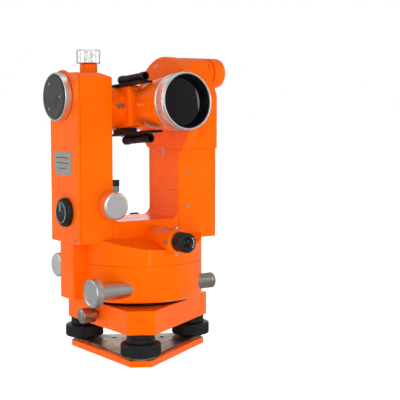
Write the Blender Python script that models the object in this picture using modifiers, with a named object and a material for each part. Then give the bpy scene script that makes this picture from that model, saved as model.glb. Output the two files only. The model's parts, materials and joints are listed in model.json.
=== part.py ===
"""A two-second optical theodolite on its levelling base, built as separate pieces.

The origin is on the vertical axis, at the underside of the base plate. +Z is up, the objective looks
towards -Y, and the telescope tilts about an axis along X. Dimensions are millimetres, and the helpers
turn them into Blender's metres. Touching pieces keep a gap of 0.3 mm.
"""

import math

import bmesh
import bpy
from mathutils import Matrix

MM = 0.001
GAP = 0.3
WIDE_SIDES = 36
SIDES = 24
SMALL_SIDES = 16
HOLE_SIDES = 12
SHARP_ANGLE = math.radians(35)

# Heights on the vertical axis.
BASE_TOP = 6.5
FOOT_KNOB_LOW, FOOT_KNOB_HIGH = 10.3, 22.2
TRIBRACH_LOW, TRIBRACH_HIGH = 30.6, 53.5
DRUM_LOW, DRUM_SEAM, DRUM_HIGH = 58.5, 93.0, 117.0
BRIDGE_TOP = 133.0
STANDARD_LOW, STANDARD_TOP = 114.0, 273.0
TRUNNION = 240.0
TOP_KNOB_HIGH = 294.7

# Levelling base.
BASE_INRADIUS, BASE_CORNER = 44.6, 71.8
TRIBRACH_INRADIUS, TRIBRACH_CORNER = 47.9, 73.5
TRIPOD_THREAD_RADIUS = 7.94
SPRING_ARM, SPRING_ARM_RADIUS, SPRING_WAIST = 58.0, 14.5, 40.0
FOOT_CIRCLE = 62.4
FOOT_KNOB_RADIUS, FOOT_COLLAR_RADIUS = 19.0, 13.5
FOOT_ANGLES = {"a": 0, "b": 120, "c": 240}
LEVEL_ANGLE, LEVEL_DISTANCE = 60, 74.0

# Centre and horizontal circle.
SOCKET_RADIUS, SLEEVE_RADIUS, SPINDLE_RADIUS = 29.7, 20.0, 14.0
HUB_FLANGE_RADIUS = 50.0
CIRCLE_RADIUS, CIRCLE_LOW, CIRCLE_HIGH = 50.0, 84.5, 88.5
GEAR_LOW, GEAR_HIGH, GEAR_RADIUS = 66.0, 69.0, 34.0

# Alidade.
DRUM_RADIUS, DRUM_WALL = 62.5, 4.0
HALF_DEPTH = 27.0
LEFT_INNER, LEFT_SEAM, LEFT_OUTER = -44.0, -78.0, -81.0
STANDARD_CORNER, STANDARD_WALL = 5.0, 3.0
RIGHT_INNER, RIGHT_OUTER, RIGHT_SEAM = 30.0, 74.5, 200.0
SLOPE = math.radians(16.4)
TANGENT_Y, TANGENT_Z = -42.5, 71.0
PLUMMET_Z, PLUMMET_RADIUS, PLUMMET_END = 116.5, 11.5, 72.5
HOUSING_RADIUS, HOUSING_DISC_END = 50.5, 41.0
HOUSING_OUTER, HOUSING_TOP = 76.3, 262.0
MIRROR_TUBE_Z, MIRROR_TUBE_RADIUS, MIRROR_TUBE_END = 275.0, 15.0, 82.5
MICROMETER_Y, MICROMETER_Z, MICROMETER_RADIUS = 3.5, 250.6, 22.6
SELECTOR_Y, SELECTOR_Z = -4.0, 143.0
VERTICAL_CLAMP_X = -54.0
VERTICAL_TANGENT_X, VERTICAL_TANGENT_Z = -47.5, 149.5
SIDE_CLAMP_Y, SIDE_CLAMP_Z = 36.0, 87.5
SETTING_Z = 75.0
LEVEL_TUBE_X, LEVEL_TUBE_Y, LEVEL_TUBE_Z = -7.0, 38.5, 125.6

# Micrometer gearing: 14 teeth drive 28 across this centre distance.
PINION_TEETH, SCALE_TEETH, GEAR_DISTANCE = 14, 28, 22.0

# Telescope, in its own frame: the origin on the trunnion axis and the objective towards -Y.
TELESCOPE_TILT = math.radians(4.5)
AXLE_RADIUS, BEARING_RADIUS = 14.0, 17.7
BLOCK_HALF_WIDTH, BLOCK_HALF_DEPTH, BLOCK_HALF_HEIGHT = 24.8, 25.0, 20.0
BARREL_REAR_RADIUS, BARREL_FRONT_RADIUS, BARREL_END = 20.0, 25.5, 71.0
OBJECTIVE_RADIUS, OBJECTIVE_END = 26.8, 87.4
FOCUS_RADIUS, FOCUS_START, FOCUS_END = 19.0, 30.3, 52.0
EYEPIECE_START, EYEPIECE_END = 62.3, 84.0
MICROSCOPE_X = -33.0
SIGHT_X, SIGHT_RADIUS = -19.3, 4.3

# Finish: linear colour, roughness, metallic.
FINISHES = {
    "orange enamel": ((0.95, 0.14, 0.005), 0.30, 0.0),
    "satin aluminium": ((0.62, 0.63, 0.64), 0.32, 1.0),
    "steel": ((0.50, 0.50, 0.50), 0.28, 1.0),
    "brass": ((0.70, 0.47, 0.18), 0.35, 1.0),
    "black plastic": ((0.012, 0.012, 0.014), 0.45, 0.0),
    "black anodised": ((0.02, 0.02, 0.022), 0.38, 0.6),
    "grey plastic": ((0.055, 0.055, 0.053), 0.50, 0.0),
    "glass": ((0.75, 0.82, 0.84), 0.05, 0.0),
    "coated glass": ((0.02, 0.018, 0.025), 0.04, 0.0),
}

TURNS = {
    "+Z": (0, 0, 0),
    "+X": (0, math.pi / 2, 0),
    "-X": (0, -math.pi / 2, 0),
    "+Y": (-math.pi / 2, 0, 0),
    "-Y": (math.pi / 2, 0, 0),
}


# ---------------------------------------------------------------- scene and materials


def clear_scene():
    for obj in list(bpy.data.objects):
        bpy.data.objects.remove(obj, do_unlink=True)


def new_collection(name):
    collection = bpy.data.collections.new(name)
    bpy.context.scene.collection.children.link(collection)
    return collection


def new_material(name, finish):
    colour, roughness, metallic = FINISHES[finish]
    material = bpy.data.materials.new(f"{name} {finish}")
    material.use_nodes = True
    shader = material.node_tree.nodes["Principled BSDF"]
    shader.inputs["Base Color"].default_value = (*colour, 1)
    shader.inputs["Roughness"].default_value = roughness
    shader.inputs["Metallic"].default_value = metallic
    return material


def new_empty(name, at=(0, 0, 0), turn=(0, 0, 0)):
    """A joint axis or a direction that pieces are parented to."""
    empty = bpy.data.objects.new(name, None)
    empty.empty_display_size = 0.02
    empty.location = [value * MM for value in at]
    empty.rotation_euler = turn
    PARTS.objects.link(empty)
    return empty


def place(name, mesh, finish, at, along, parent):
    obj = bpy.data.objects.new(name, mesh)
    obj.location = [value * MM for value in at]
    obj.rotation_euler = TURNS[along]
    obj.parent = parent
    if finish:
        mesh.materials.append(new_material(name, finish))
        PARTS.objects.link(obj)
    else:
        obj.hide_render = True
        obj.display_type = "WIRE"
        CUTTERS.objects.link(obj)
    return obj


# ---------------------------------------------------------------- shapes


def turned(name, finish, profile, at=(0, 0, 0), along="+Z", ring=False, sides=SIDES, parent=None):
    """A turned piece. The profile is (radius, height), down the outer side; a ring's closes on itself."""
    points = [(radius * MM, 0, height * MM) for radius, height in profile]
    edges = [(i, i + 1) for i in range(len(points) - 1)]
    if ring:
        edges.append((len(points) - 1, 0))
    mesh = bpy.data.meshes.new(name)
    mesh.from_pydata(points, edges, [])
    obj = place(name, mesh, finish, at, along, parent)
    screw = obj.modifiers.new("Turn", "SCREW")
    screw.steps = sides
    screw.render_steps = sides
    screw.use_merge_vertices = True
    screw.merge_threshold = 0.00002
    screw.use_smooth_shade = False
    return obj


def rod_profile(radius, low, high, edge=0.6):
    return [(0, high), (radius - edge, high), (radius, high - edge), (radius, low), (0, low)]


def ring_profile(inner, outer, low, high, edge=0.6):
    return [(outer - edge, high), (outer, high - edge), (outer, low), (inner, low), (inner, high)]


def box(name, finish, low, high, edge=0.0, parent=None):
    """A box between two opposite corners, with its edges rounded."""
    centre = [(a + b) / 2 for a, b in zip(low, high)]
    size = [(b - a) * MM for a, b in zip(low, high)]
    form = bmesh.new()
    bmesh.ops.create_cube(form, size=1, matrix=Matrix.Diagonal((*size, 1)))
    mesh = bpy.data.meshes.new(name)
    form.to_mesh(mesh)
    form.free()
    obj = place(name, mesh, finish, centre, "+Z", parent)
    if edge:
        round_edges(obj, edge)
    return obj


def round_edges(obj, width):
    bevel = obj.modifiers.new("Edges", "BEVEL")
    bevel.width = width * MM
    bevel.segments = 2


def plate(name, finish, outlines, low, high, at=(0, 0, 0), along="+Z", parent=None):
    """A flat piece from outlines, the first outside and the rest holes, between two heights."""
    curve = bpy.data.curves.new(name, "CURVE")
    curve.dimensions = "2D"
    curve.fill_mode = "BOTH"
    curve.extrude = (high - low) / 2 * MM
    for outline in outlines:
        spline = curve.splines.new("POLY")
        spline.points.add(len(outline) - 1)
        for point, (x, y) in zip(spline.points, outline):
            point.co = (x * MM, y * MM, 0, 1)
        spline.use_cyclic_u = True
    sketch = bpy.data.objects.new(name, curve)
    PARTS.objects.link(sketch)
    graph = bpy.context.evaluated_depsgraph_get()
    mesh = bpy.data.meshes.new_from_object(sketch.evaluated_get(graph))
    bpy.data.objects.remove(sketch)
    form = bmesh.new()
    form.from_mesh(mesh)
    bmesh.ops.remove_doubles(form, verts=form.verts, dist=0.000001)
    bmesh.ops.translate(form, verts=form.verts, vec=(0, 0, (low + high) / 2 * MM))
    bmesh.ops.recalc_face_normals(form, faces=form.faces)
    form.to_mesh(mesh)
    form.free()
    mesh.materials.clear()
    return place(name, mesh, finish, at, along, parent)


def combine(obj, other, operation, solver="EXACT"):
    modifier = obj.modifiers.new(operation.title(), "BOOLEAN")
    modifier.operation = operation
    modifier.solver = solver
    modifier.object = other


def cut(obj, *cutters, solver="EXACT"):
    for cutter in cutters:
        combine(obj, cutter, "DIFFERENCE", solver)


def join(obj, *others):
    for other in others:
        combine(obj, other, "UNION")


# ---------------------------------------------------------------- outlines


def turned_point(x, y, degrees):
    angle = math.radians(degrees)
    return (x * math.cos(angle) - y * math.sin(angle), x * math.sin(angle) + y * math.cos(angle))


def circle(radius, centre=(0, 0), sides=SIDES):
    angles = [2 * math.pi * i / sides for i in range(sides)]
    return [(centre[0] + radius * math.cos(a), centre[1] + radius * math.sin(a)) for a in angles]


def cut_triangle(inradius, corner):
    """A triangle with its corners towards the foot screws, each cut square at a distance from the axis."""
    half = (inradius - corner / 2) / math.sin(math.radians(60))
    return [turned_point(corner, side * half, a) for a in FOOT_ANGLES.values() for side in (-1, 1)]


def star(arm_centre, arm_radius, waist):
    """Three round-ended arms towards the foot screws."""
    points = []
    for angle in FOOT_ANGLES.values():
        for step in range(-5, 6):
            around = math.radians(20 * step)
            x = arm_centre + arm_radius * math.cos(around)
            points.append(turned_point(x, arm_radius * math.sin(around), angle))
        points.append(turned_point(waist, 0, angle + 60))
    return points


def gear_outline(teeth, pitch_radius, phase):
    """Straight-sided teeth. The phase is the angle, in degrees, of the middle of one tooth."""
    root, tip = pitch_radius - 1.0, pitch_radius + 0.8
    points = []
    for tooth in range(teeth):
        for part, radius in ((-0.32, root), (-0.14, tip), (0.14, tip), (0.32, root)):
            points.append(turned_point(radius, 0, phase + 360 * (tooth + part) / teeth))
    return points


# ---------------------------------------------------------------- levelling base


def build_base():
    plate(
        "base_plate",
        "orange enamel",
        [cut_triangle(BASE_INRADIUS, BASE_CORNER), circle(TRIPOD_THREAD_RADIUS)],
        0,
        BASE_TOP,
    )
    sheet_low, sheet_high, seat_high = BASE_TOP + GAP, BASE_TOP + 1.5, BASE_TOP + 2.5
    foot_points = [turned_point(FOOT_CIRCLE, 0, angle) for angle in FOOT_ANGLES.values()]
    holes = [circle(8, point, SMALL_SIDES) for point in foot_points]
    spring = plate(
        "spring_plate",
        "satin aluminium",
        [star(SPRING_ARM, SPRING_ARM_RADIUS, SPRING_WAIST), circle(16, sides=SMALL_SIDES), *holes],
        sheet_low,
        sheet_high,
    )
    for key, point in zip(FOOT_ANGLES, foot_points):
        seat = ring_profile(6.3, 11, sheet_low + 0.4, seat_high)
        rim = turned(f"foot_seat_{key}", None, seat, (*point, 0), ring=True, sides=SMALL_SIDES)
        combine(spring, rim, "UNION", "MANIFOLD")

    bores = [circle(5, point, SMALL_SIDES) for point in foot_points]
    tribrach = plate(
        "tribrach_body",
        "orange enamel",
        [cut_triangle(TRIBRACH_INRADIUS, TRIBRACH_CORNER), circle(SOCKET_RADIUS + GAP), *bores],
        TRIBRACH_LOW,
        TRIBRACH_HIGH,
    )
    clamp_at = (0, -1, 42)
    clamp_bore = rod_profile(3.4, 25, 60)
    cut(tribrach, turned("clamp_bore", None, clamp_bore, clamp_at, "-X", sides=SMALL_SIDES))
    knob = [(0, 66.3), (6.6, 66.3), (7.3, 65.6), (7.3, 52), (4, 51.7), (4, 48.4), (3, 48.2)]
    knob += [(3, 31), (0, 31)]
    turned("tribrach_clamp_knob", "satin aluminium", knob, clamp_at, "-X", sides=SMALL_SIDES)

    direction = new_empty("level_direction", turn=(0, 0, math.radians(LEVEL_ANGLE)))
    cup = [(0, 46), (8, 46), (8, 52), (10.5, 52), (10.5, 41), (0, 41)]
    cup_at = (LEVEL_DISTANCE, 0, 0)
    level = turned("circular_level", "satin aluminium", cup, cup_at, sides=SMALL_SIDES, parent=direction)
    arm_low = (TRIBRACH_INRADIUS + GAP, -7, 36)
    join(level, box("level_arm", None, arm_low, (LEVEL_DISTANCE, 7, 41.6), parent=direction))


def build_foot_screws():
    screw = [(0, 50), (3.6, 50), (4, 49.6), (4, 23), (5, 22.4), (5, 8.8), (3.4, 6.8), (0, 6.8)]
    knob = ring_profile(5.3, FOOT_KNOB_RADIUS, FOOT_KNOB_LOW, FOOT_KNOB_HIGH, 1.2)
    collar = ring_profile(5.3, FOOT_COLLAR_RADIUS, FOOT_KNOB_HIGH + GAP, TRIBRACH_LOW - GAP)
    for key, angle in FOOT_ANGLES.items():
        at = (*turned_point(FOOT_CIRCLE, 0, angle), 0)
        turned(f"foot_screw_{key}", "steel", screw, at, sides=SMALL_SIDES)
        turned(f"foot_knob_{key}", "black plastic", knob, at, ring=True)
        turned(f"foot_collar_{key}", "black plastic", collar, at, ring=True, sides=SMALL_SIDES)


# ---------------------------------------------------------------- vertical axis and circle


def build_centre():
    socket = [
        (SLEEVE_RADIUS, 96),
        (SLEEVE_RADIUS, DRUM_LOW - GAP),
        (HUB_FLANGE_RADIUS, DRUM_LOW - GAP),
        (HUB_FLANGE_RADIUS, TRIBRACH_HIGH + GAP),
        (SOCKET_RADIUS, TRIBRACH_HIGH + GAP),
        (SOCKET_RADIUS, 36),
        (SPINDLE_RADIUS + GAP, 36),
        (SPINDLE_RADIUS + GAP, 96),
    ]
    turned("centre_socket", "steel", socket, ring=True)
    spindle = [(30, 102.2), (30, 98), (SPINDLE_RADIUS, 98), (SPINDLE_RADIUS, 36), (5, 36), (5, 102.2)]
    turned("vertical_spindle", "steel", spindle, ring=True)

    bore = SLEEVE_RADIUS + GAP
    hub_top = CIRCLE_LOW - GAP
    gear = [(27, hub_top), (27, GEAR_HIGH), (GEAR_RADIUS, GEAR_HIGH), (GEAR_RADIUS, GEAR_LOW)]
    gear += [(bore, GEAR_LOW), (bore, hub_top)]
    turned("circle_gear", "brass", gear, ring=True)
    glass = ring_profile(bore, CIRCLE_RADIUS, CIRCLE_LOW, CIRCLE_HIGH, 0.5)
    turned("horizontal_circle", "glass", glass, ring=True)

    clamp_ring = turned("clamp_ring", "steel", ring_profile(bore, 26, 62.4, 65.6), ring=True)
    arm = box("clamp_ring_arm", None, (-5, -44, 62.4), (5, -24, 65.6))
    post = box("clamp_ring_post", None, (-7.4, -48, 62.8), (7.4, -38, 77))
    join(clamp_ring, arm, post)


# ---------------------------------------------------------------- alidade


def drum_clearance(name):
    """The space of the drum, cut out of what stands beside and on it."""
    room = rod_profile(DRUM_RADIUS + GAP, DRUM_LOW - 10, DRUM_HIGH + GAP)
    return turned(name, None, room, sides=WIDE_SIDES)


def build_drum():
    inside = DRUM_RADIUS - DRUM_WALL
    seam = DRUM_SEAM - GAP / 2
    shell = [(DRUM_RADIUS, seam), (DRUM_RADIUS, DRUM_LOW), (21, DRUM_LOW), (21, 62), (inside, 62)]
    shell.append((inside, seam))
    drum = turned("lower_drum", "orange enamel", shell, ring=True, sides=WIDE_SIDES)
    tangent_at = (0, TANGENT_Y, TANGENT_Z)
    setting_at = (0, 0, SETTING_Z)
    clamp_at = (0, SIDE_CLAMP_Y, SIDE_CLAMP_Z)
    shaft_room = 3.3
    cut(
        drum,
        turned("tangent_hole", None, rod_profile(8.3, 15, 70), tangent_at, "-X", sides=SMALL_SIDES),
        turned("spring_hole", None, rod_profile(7.9, 15, 70), tangent_at, "+X", sides=SMALL_SIDES),
        turned("setting_hole", None, rod_profile(shaft_room, 50, 70), setting_at, "+Y", sides=HOLE_SIDES),
        turned("side_clamp_hole", None, rod_profile(shaft_room, 35, 70), clamp_at, "-X", sides=HOLE_SIDES),
    )

    casting = [(0, DRUM_HIGH), (DRUM_RADIUS, DRUM_HIGH), (DRUM_RADIUS, DRUM_SEAM + GAP / 2)]
    casting += [(50, DRUM_SEAM + GAP / 2), (50, 102.5), (0, 102.5)]
    top = turned("alidade_base", "orange enamel", casting, sides=WIDE_SIDES)
    bridge_low = (LEFT_INNER + GAP, -HALF_DEPTH, DRUM_HIGH - 6)
    join(top, box("bridge", None, bridge_low, (RIGHT_INNER - GAP, HALF_DEPTH, BRIDGE_TOP)))
    slope = box("slope", None, (-80, -60, 0), (80, 0, 40))
    slope.parent = new_empty("slope_edge", (0, -HALF_DEPTH, DRUM_HIGH), (SLOPE, 0, 0))
    tube_room = rod_profile(PLUMMET_RADIUS + GAP, HALF_DEPTH, 80, 0.1)
    plummet_at = (0, 0, PLUMMET_Z)
    cut(top, slope, turned("plummet_room", None, tube_room, plummet_at, "-Y"))

    housing_low = (-76, -6, DRUM_LOW + GAP)
    housing = box("clamp_housing", "orange enamel", housing_low, (-57, 20, STANDARD_LOW - GAP), 1.0)
    cut(housing, drum_clearance("drum_beside_clamp"))

    tube = ring_profile(7, PLUMMET_RADIUS, HALF_DEPTH + GAP, PLUMMET_END)
    turned("plummet_tube", "orange enamel", tube, plummet_at, "-Y", ring=True)
    start = PLUMMET_END + GAP
    eyepiece = [(0, 87.2), (8.5, 87.2), (9.3, 86.4), (9.3, start), (6.7, start), (6.7, 60), (0, 60)]
    turned("plummet_eyepiece", "black plastic", eyepiece, plummet_at, "-Y", sides=SMALL_SIDES)

    barrel = ring_profile(3.4, 8, 20, 69.7)
    turned("tangent_barrel", "satin aluminium", barrel, tangent_at, "-X", ring=True, sides=SMALL_SIDES)
    screw = [(0, 78.4), (12.5, 78.4), (13.5, 77.4), (13.5, 71), (12.5, 70), (3, 70), (3, 8), (0, 8)]
    turned("horizontal_tangent_knob", "satin aluminium", screw, tangent_at, "-X", sides=SMALL_SIDES)
    plunger = [(0, 59), (6.6, 59), (7.6, 58), (7.6, 20), (3, 20), (3, 8), (0, 8)]
    turned("spring_barrel", "satin aluminium", plunger, tangent_at, "+X", sides=SMALL_SIDES)

    clamp = [(0, 72), (10.8, 72), (11.8, 71), (11.8, 63), (6, 63), (6, 57), (3, 56.5), (3, 43), (0, 43)]
    turned("horizontal_clamp_knob", "satin aluminium", clamp, clamp_at, "-X", sides=SMALL_SIDES)
    setting = [(0, 76), (8.4, 76), (9, 75.4), (9, 63.2), (3, 63.2), (3, 33), (5, 33), (5, 28), (0, 28)]
    turned("circle_setting_knob", "black plastic", setting, setting_at, "+Y", sides=SMALL_SIDES)

    level_at = (LEVEL_TUBE_X, LEVEL_TUBE_Y, LEVEL_TUBE_Z)
    tube = ring_profile(5.3, 8, -30, 30)
    case = turned(
        "plate_level_case", "black anodised", tube, level_at, "+X", ring=True, sides=SMALL_SIDES
    )
    for side, x in (("left", LEVEL_TUBE_X - 24), ("right", LEVEL_TUBE_X + 24)):
        join(case, box(f"level_foot_{side}", None, (x - 3, 34, DRUM_HIGH + GAP), (x + 3, 43, 119.6)))
    window_low = (LEVEL_TUBE_X - 16, LEVEL_TUBE_Y - 4, LEVEL_TUBE_Z + 1)
    window_high = (LEVEL_TUBE_X + 16, LEVEL_TUBE_Y + 4, LEVEL_TUBE_Z + 12)
    cut(case, box("level_window", None, window_low, window_high))
    turned("plate_level_vial", "glass", rod_profile(5, -27, 27), level_at, "+X", sides=SMALL_SIDES)


def build_left_standard():
    corner_low, corner_high = -HALF_DEPTH + STANDARD_CORNER, HALF_DEPTH - STANDARD_CORNER
    shoulder = STANDARD_TOP - STANDARD_CORNER
    outline = [(STANDARD_LOW, -HALF_DEPTH), (shoulder, -HALF_DEPTH), (STANDARD_TOP, corner_low)]
    outline += [(STANDARD_TOP, corner_high), (shoulder, HALF_DEPTH), (STANDARD_LOW, HALF_DEPTH)]
    standard = plate(
        "left_standard", "orange enamel", [outline], -LEFT_INNER, -LEFT_SEAM - GAP / 2, along="-X"
    )
    boss = rod_profile(8.3, STANDARD_TOP - 3, 281.7)
    boss_at = (VERTICAL_CLAMP_X, 0, 0)
    join(standard, turned("clamp_boss", None, boss, boss_at, sides=SMALL_SIDES))
    axis_at = (0, 0, TRUNNION)
    tangent_at = (VERTICAL_TANGENT_X, 0, VERTICAL_TANGENT_Z)
    room_depth = HALF_DEPTH - STANDARD_WALL
    room_low = (LEFT_SEAM - 5, -room_depth, 120)
    cut(
        standard,
        box("left_room", None, room_low, (LEFT_INNER - STANDARD_WALL, room_depth, 266)),
        drum_clearance("drum_under_left"),
        turned("left_bearing_bore", None, rod_profile(BEARING_RADIUS + GAP, 40, 50), axis_at, "-X"),
        turned("clamp_shaft_bore", None, rod_profile(3.8, 258, 290), boss_at, sides=SMALL_SIDES),
        turned("tangent_shaft_bore", None, rod_profile(2.5, 15, 30), tangent_at, "-Y", sides=HOLE_SIDES),
        solver="MANIFOLD",
    )
    bearing = ring_profile(AXLE_RADIUS + GAP, BEARING_RADIUS, 44.3, 52)
    turned("left_bearing", "brass", bearing, axis_at, "-X", ring=True)

    inner_face = -LEFT_SEAM + GAP / 2
    selector_hole = circle(3.3, (SELECTOR_Z, SELECTOR_Y), HOLE_SIDES)
    cover = plate(
        "left_cover",
        "orange enamel",
        [outline, selector_hole],
        inner_face,
        -LEFT_OUTER,
        along="-X",
    )
    boss_at = (0, MICROMETER_Y, MICROMETER_Z)
    join(cover, turned("micrometer_boss", None, rod_profile(25, inner_face, 81.3), boss_at, "-X"))
    bore = rod_profile(4.3, 60, 90)
    cut(cover, turned("micrometer_bore", None, bore, boss_at, "-X", sides=SMALL_SIDES))

    grip = ring_profile(AXLE_RADIUS + GAP, 21, 52.3, 58)
    arm = turned("trunnion_clamp_arm", "steel", grip, axis_at, "-X", ring=True)
    join(
        arm,
        box("arm_bar", None, (-57, -6, 150), (-53, 6, 222)),
        box("arm_foot", None, (-57.4, -17.4, 144), (-48, 6.4, 156)),
    )
    clamp = [(0, TOP_KNOB_HIGH), (10.6, TOP_KNOB_HIGH), (11.4, TOP_KNOB_HIGH - 0.8), (11.4, 282)]
    clamp += [(3.5, 282), (3.5, 261.4), (0, 261.4)]
    clamp_at = (VERTICAL_CLAMP_X, 0, 0)
    turned("vertical_clamp_knob", "satin aluminium", clamp, clamp_at, sides=SMALL_SIDES)
    screw = [(0, 40), (12, 40), (13, 39), (13, 27.3), (2.2, 27.3), (2.2, 17.7), (0, 17.7)]
    turned("vertical_tangent_knob", "satin aluminium", screw, tangent_at, "-Y", sides=SMALL_SIDES)
    knob = [(0, 88.3), (10, 88.3), (13.6, 86.3), (13.6, 81.3), (3, 81.3), (3, 60), (0, 60)]
    selector_at = (0, SELECTOR_Y, SELECTOR_Z)
    turned("selector_knob", "black plastic", knob, selector_at, "-X", sides=SMALL_SIDES)


def build_micrometer():
    at = (0, MICROMETER_Y, MICROMETER_Z)
    rim = ring_profile(4.3, MICROMETER_RADIUS, 81.6, 88.7)
    turned("micrometer_knob", "satin aluminium", rim, at, "-X", ring=True)
    turned("micrometer_cap", "grey plastic", rod_profile(MICROMETER_RADIUS - 0.6, 89, 90.3), at, "-X")
    shaft = turned("micrometer_shaft", "steel", rod_profile(4, 62, 88.7), at, "-X", sides=SMALL_SIDES)
    pitch = GEAR_DISTANCE * PINION_TEETH / (PINION_TEETH + SCALE_TEETH)
    pinion = gear_outline(PINION_TEETH, pitch, 180)
    join(shaft, plate("micrometer_pinion", None, [pinion], 69, 72, at, "-X"))
    wheel = gear_outline(SCALE_TEETH, GEAR_DISTANCE - pitch, 180 / SCALE_TEETH)
    scale_at = (0, MICROMETER_Y, MICROMETER_Z - GEAR_DISTANCE)
    plate("micrometer_scale", "brass", [wheel, circle(2, sides=HOLE_SIDES)], 69, 72, scale_at, "-X")


def build_right_standard():
    axis_at = (0, 0, TRUNNION)
    tube_at = (0, 0, MIRROR_TUBE_Z)
    standard = box(
        "right_standard",
        "orange enamel",
        (RIGHT_INNER, -HALF_DEPTH, 112),
        (RIGHT_OUTER, HALF_DEPTH, RIGHT_SEAM - GAP),
        1.5,
    )
    disc_room = rod_profile(HOUSING_RADIUS + GAP, 20, HOUSING_DISC_END + GAP)
    cut(
        standard,
        turned("disc_room", None, disc_room, axis_at, "+X", sides=WIDE_SIDES),
        drum_clearance("drum_under_right"),
        box("right_room", None, (45, -20, 120), (66, 20, 210)),
    )
    lid_profile = ring_profile(BEARING_RADIUS + GAP, HOUSING_RADIUS, -32.7, -RIGHT_INNER, 1.0)
    turned("circle_cover", "orange enamel", lid_profile, axis_at, "-X", ring=True, sides=WIDE_SIDES)

    block_low = (HOUSING_DISC_END - 4, -HALF_DEPTH, RIGHT_SEAM)
    block_high = (HOUSING_OUTER, HALF_DEPTH, HOUSING_TOP)
    housing = box("circle_housing", "orange enamel", block_low, block_high, 1.5)
    disc = rod_profile(HOUSING_RADIUS, 33, HOUSING_DISC_END, 0.5)
    neck = rod_profile(MIRROR_TUBE_RADIUS, HOUSING_DISC_END - 4, HOUSING_OUTER + 0.2, 0.3)
    join(
        housing,
        turned("housing_disc", None, disc, axis_at, "+X", sides=WIDE_SIDES),
        turned("housing_neck", None, neck, tube_at, "+X"),
        turned("housing_boss", None, rod_profile(19.5, 70, 79.5, 1.5), axis_at, "+X"),
    )
    cut(
        housing,
        turned("circle_room", None, rod_profile(46, 30, 38.3, 0.1), axis_at, "+X", sides=WIDE_SIDES),
        box("housing_room", None, (37, -22, 206), (71, 22, 256)),
        turned("light_bore", None, rod_profile(11, 37, 90, 0.1), tube_at, "+X"),
    )
    bearing = ring_profile(AXLE_RADIUS + GAP, BEARING_RADIUS, 30.3, 33.8)
    turned("right_bearing", "brass", bearing, axis_at, "+X", ring=True)

    collar = [(13.5, MIRROR_TUBE_END), (13.5, 80), (MIRROR_TUBE_RADIUS, 80), (MIRROR_TUBE_RADIUS, 76.8)]
    collar += [(11, 76.8), (11, MIRROR_TUBE_END)]
    turned("mirror_tube", "orange enamel", collar, tube_at, "+X", ring=True)
    start = MIRROR_TUBE_END + GAP
    cap = [(0, 98.5), (10.5, 98.5), (13.7, 97.2), (15, 94), (15, start), (12, start), (12, 92), (0, 92)]
    turned("mirror_cap", "orange enamel", cap, tube_at, "+X")


# ---------------------------------------------------------------- telescope


def sight_tube(name, start, end, height, tilt):
    tube = rod_profile(SIGHT_RADIUS, start, end)
    at = (SIGHT_X, 0, height)
    return turned(name, None, tube, at, "-Y", sides=SMALL_SIDES, parent=tilt)


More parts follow.
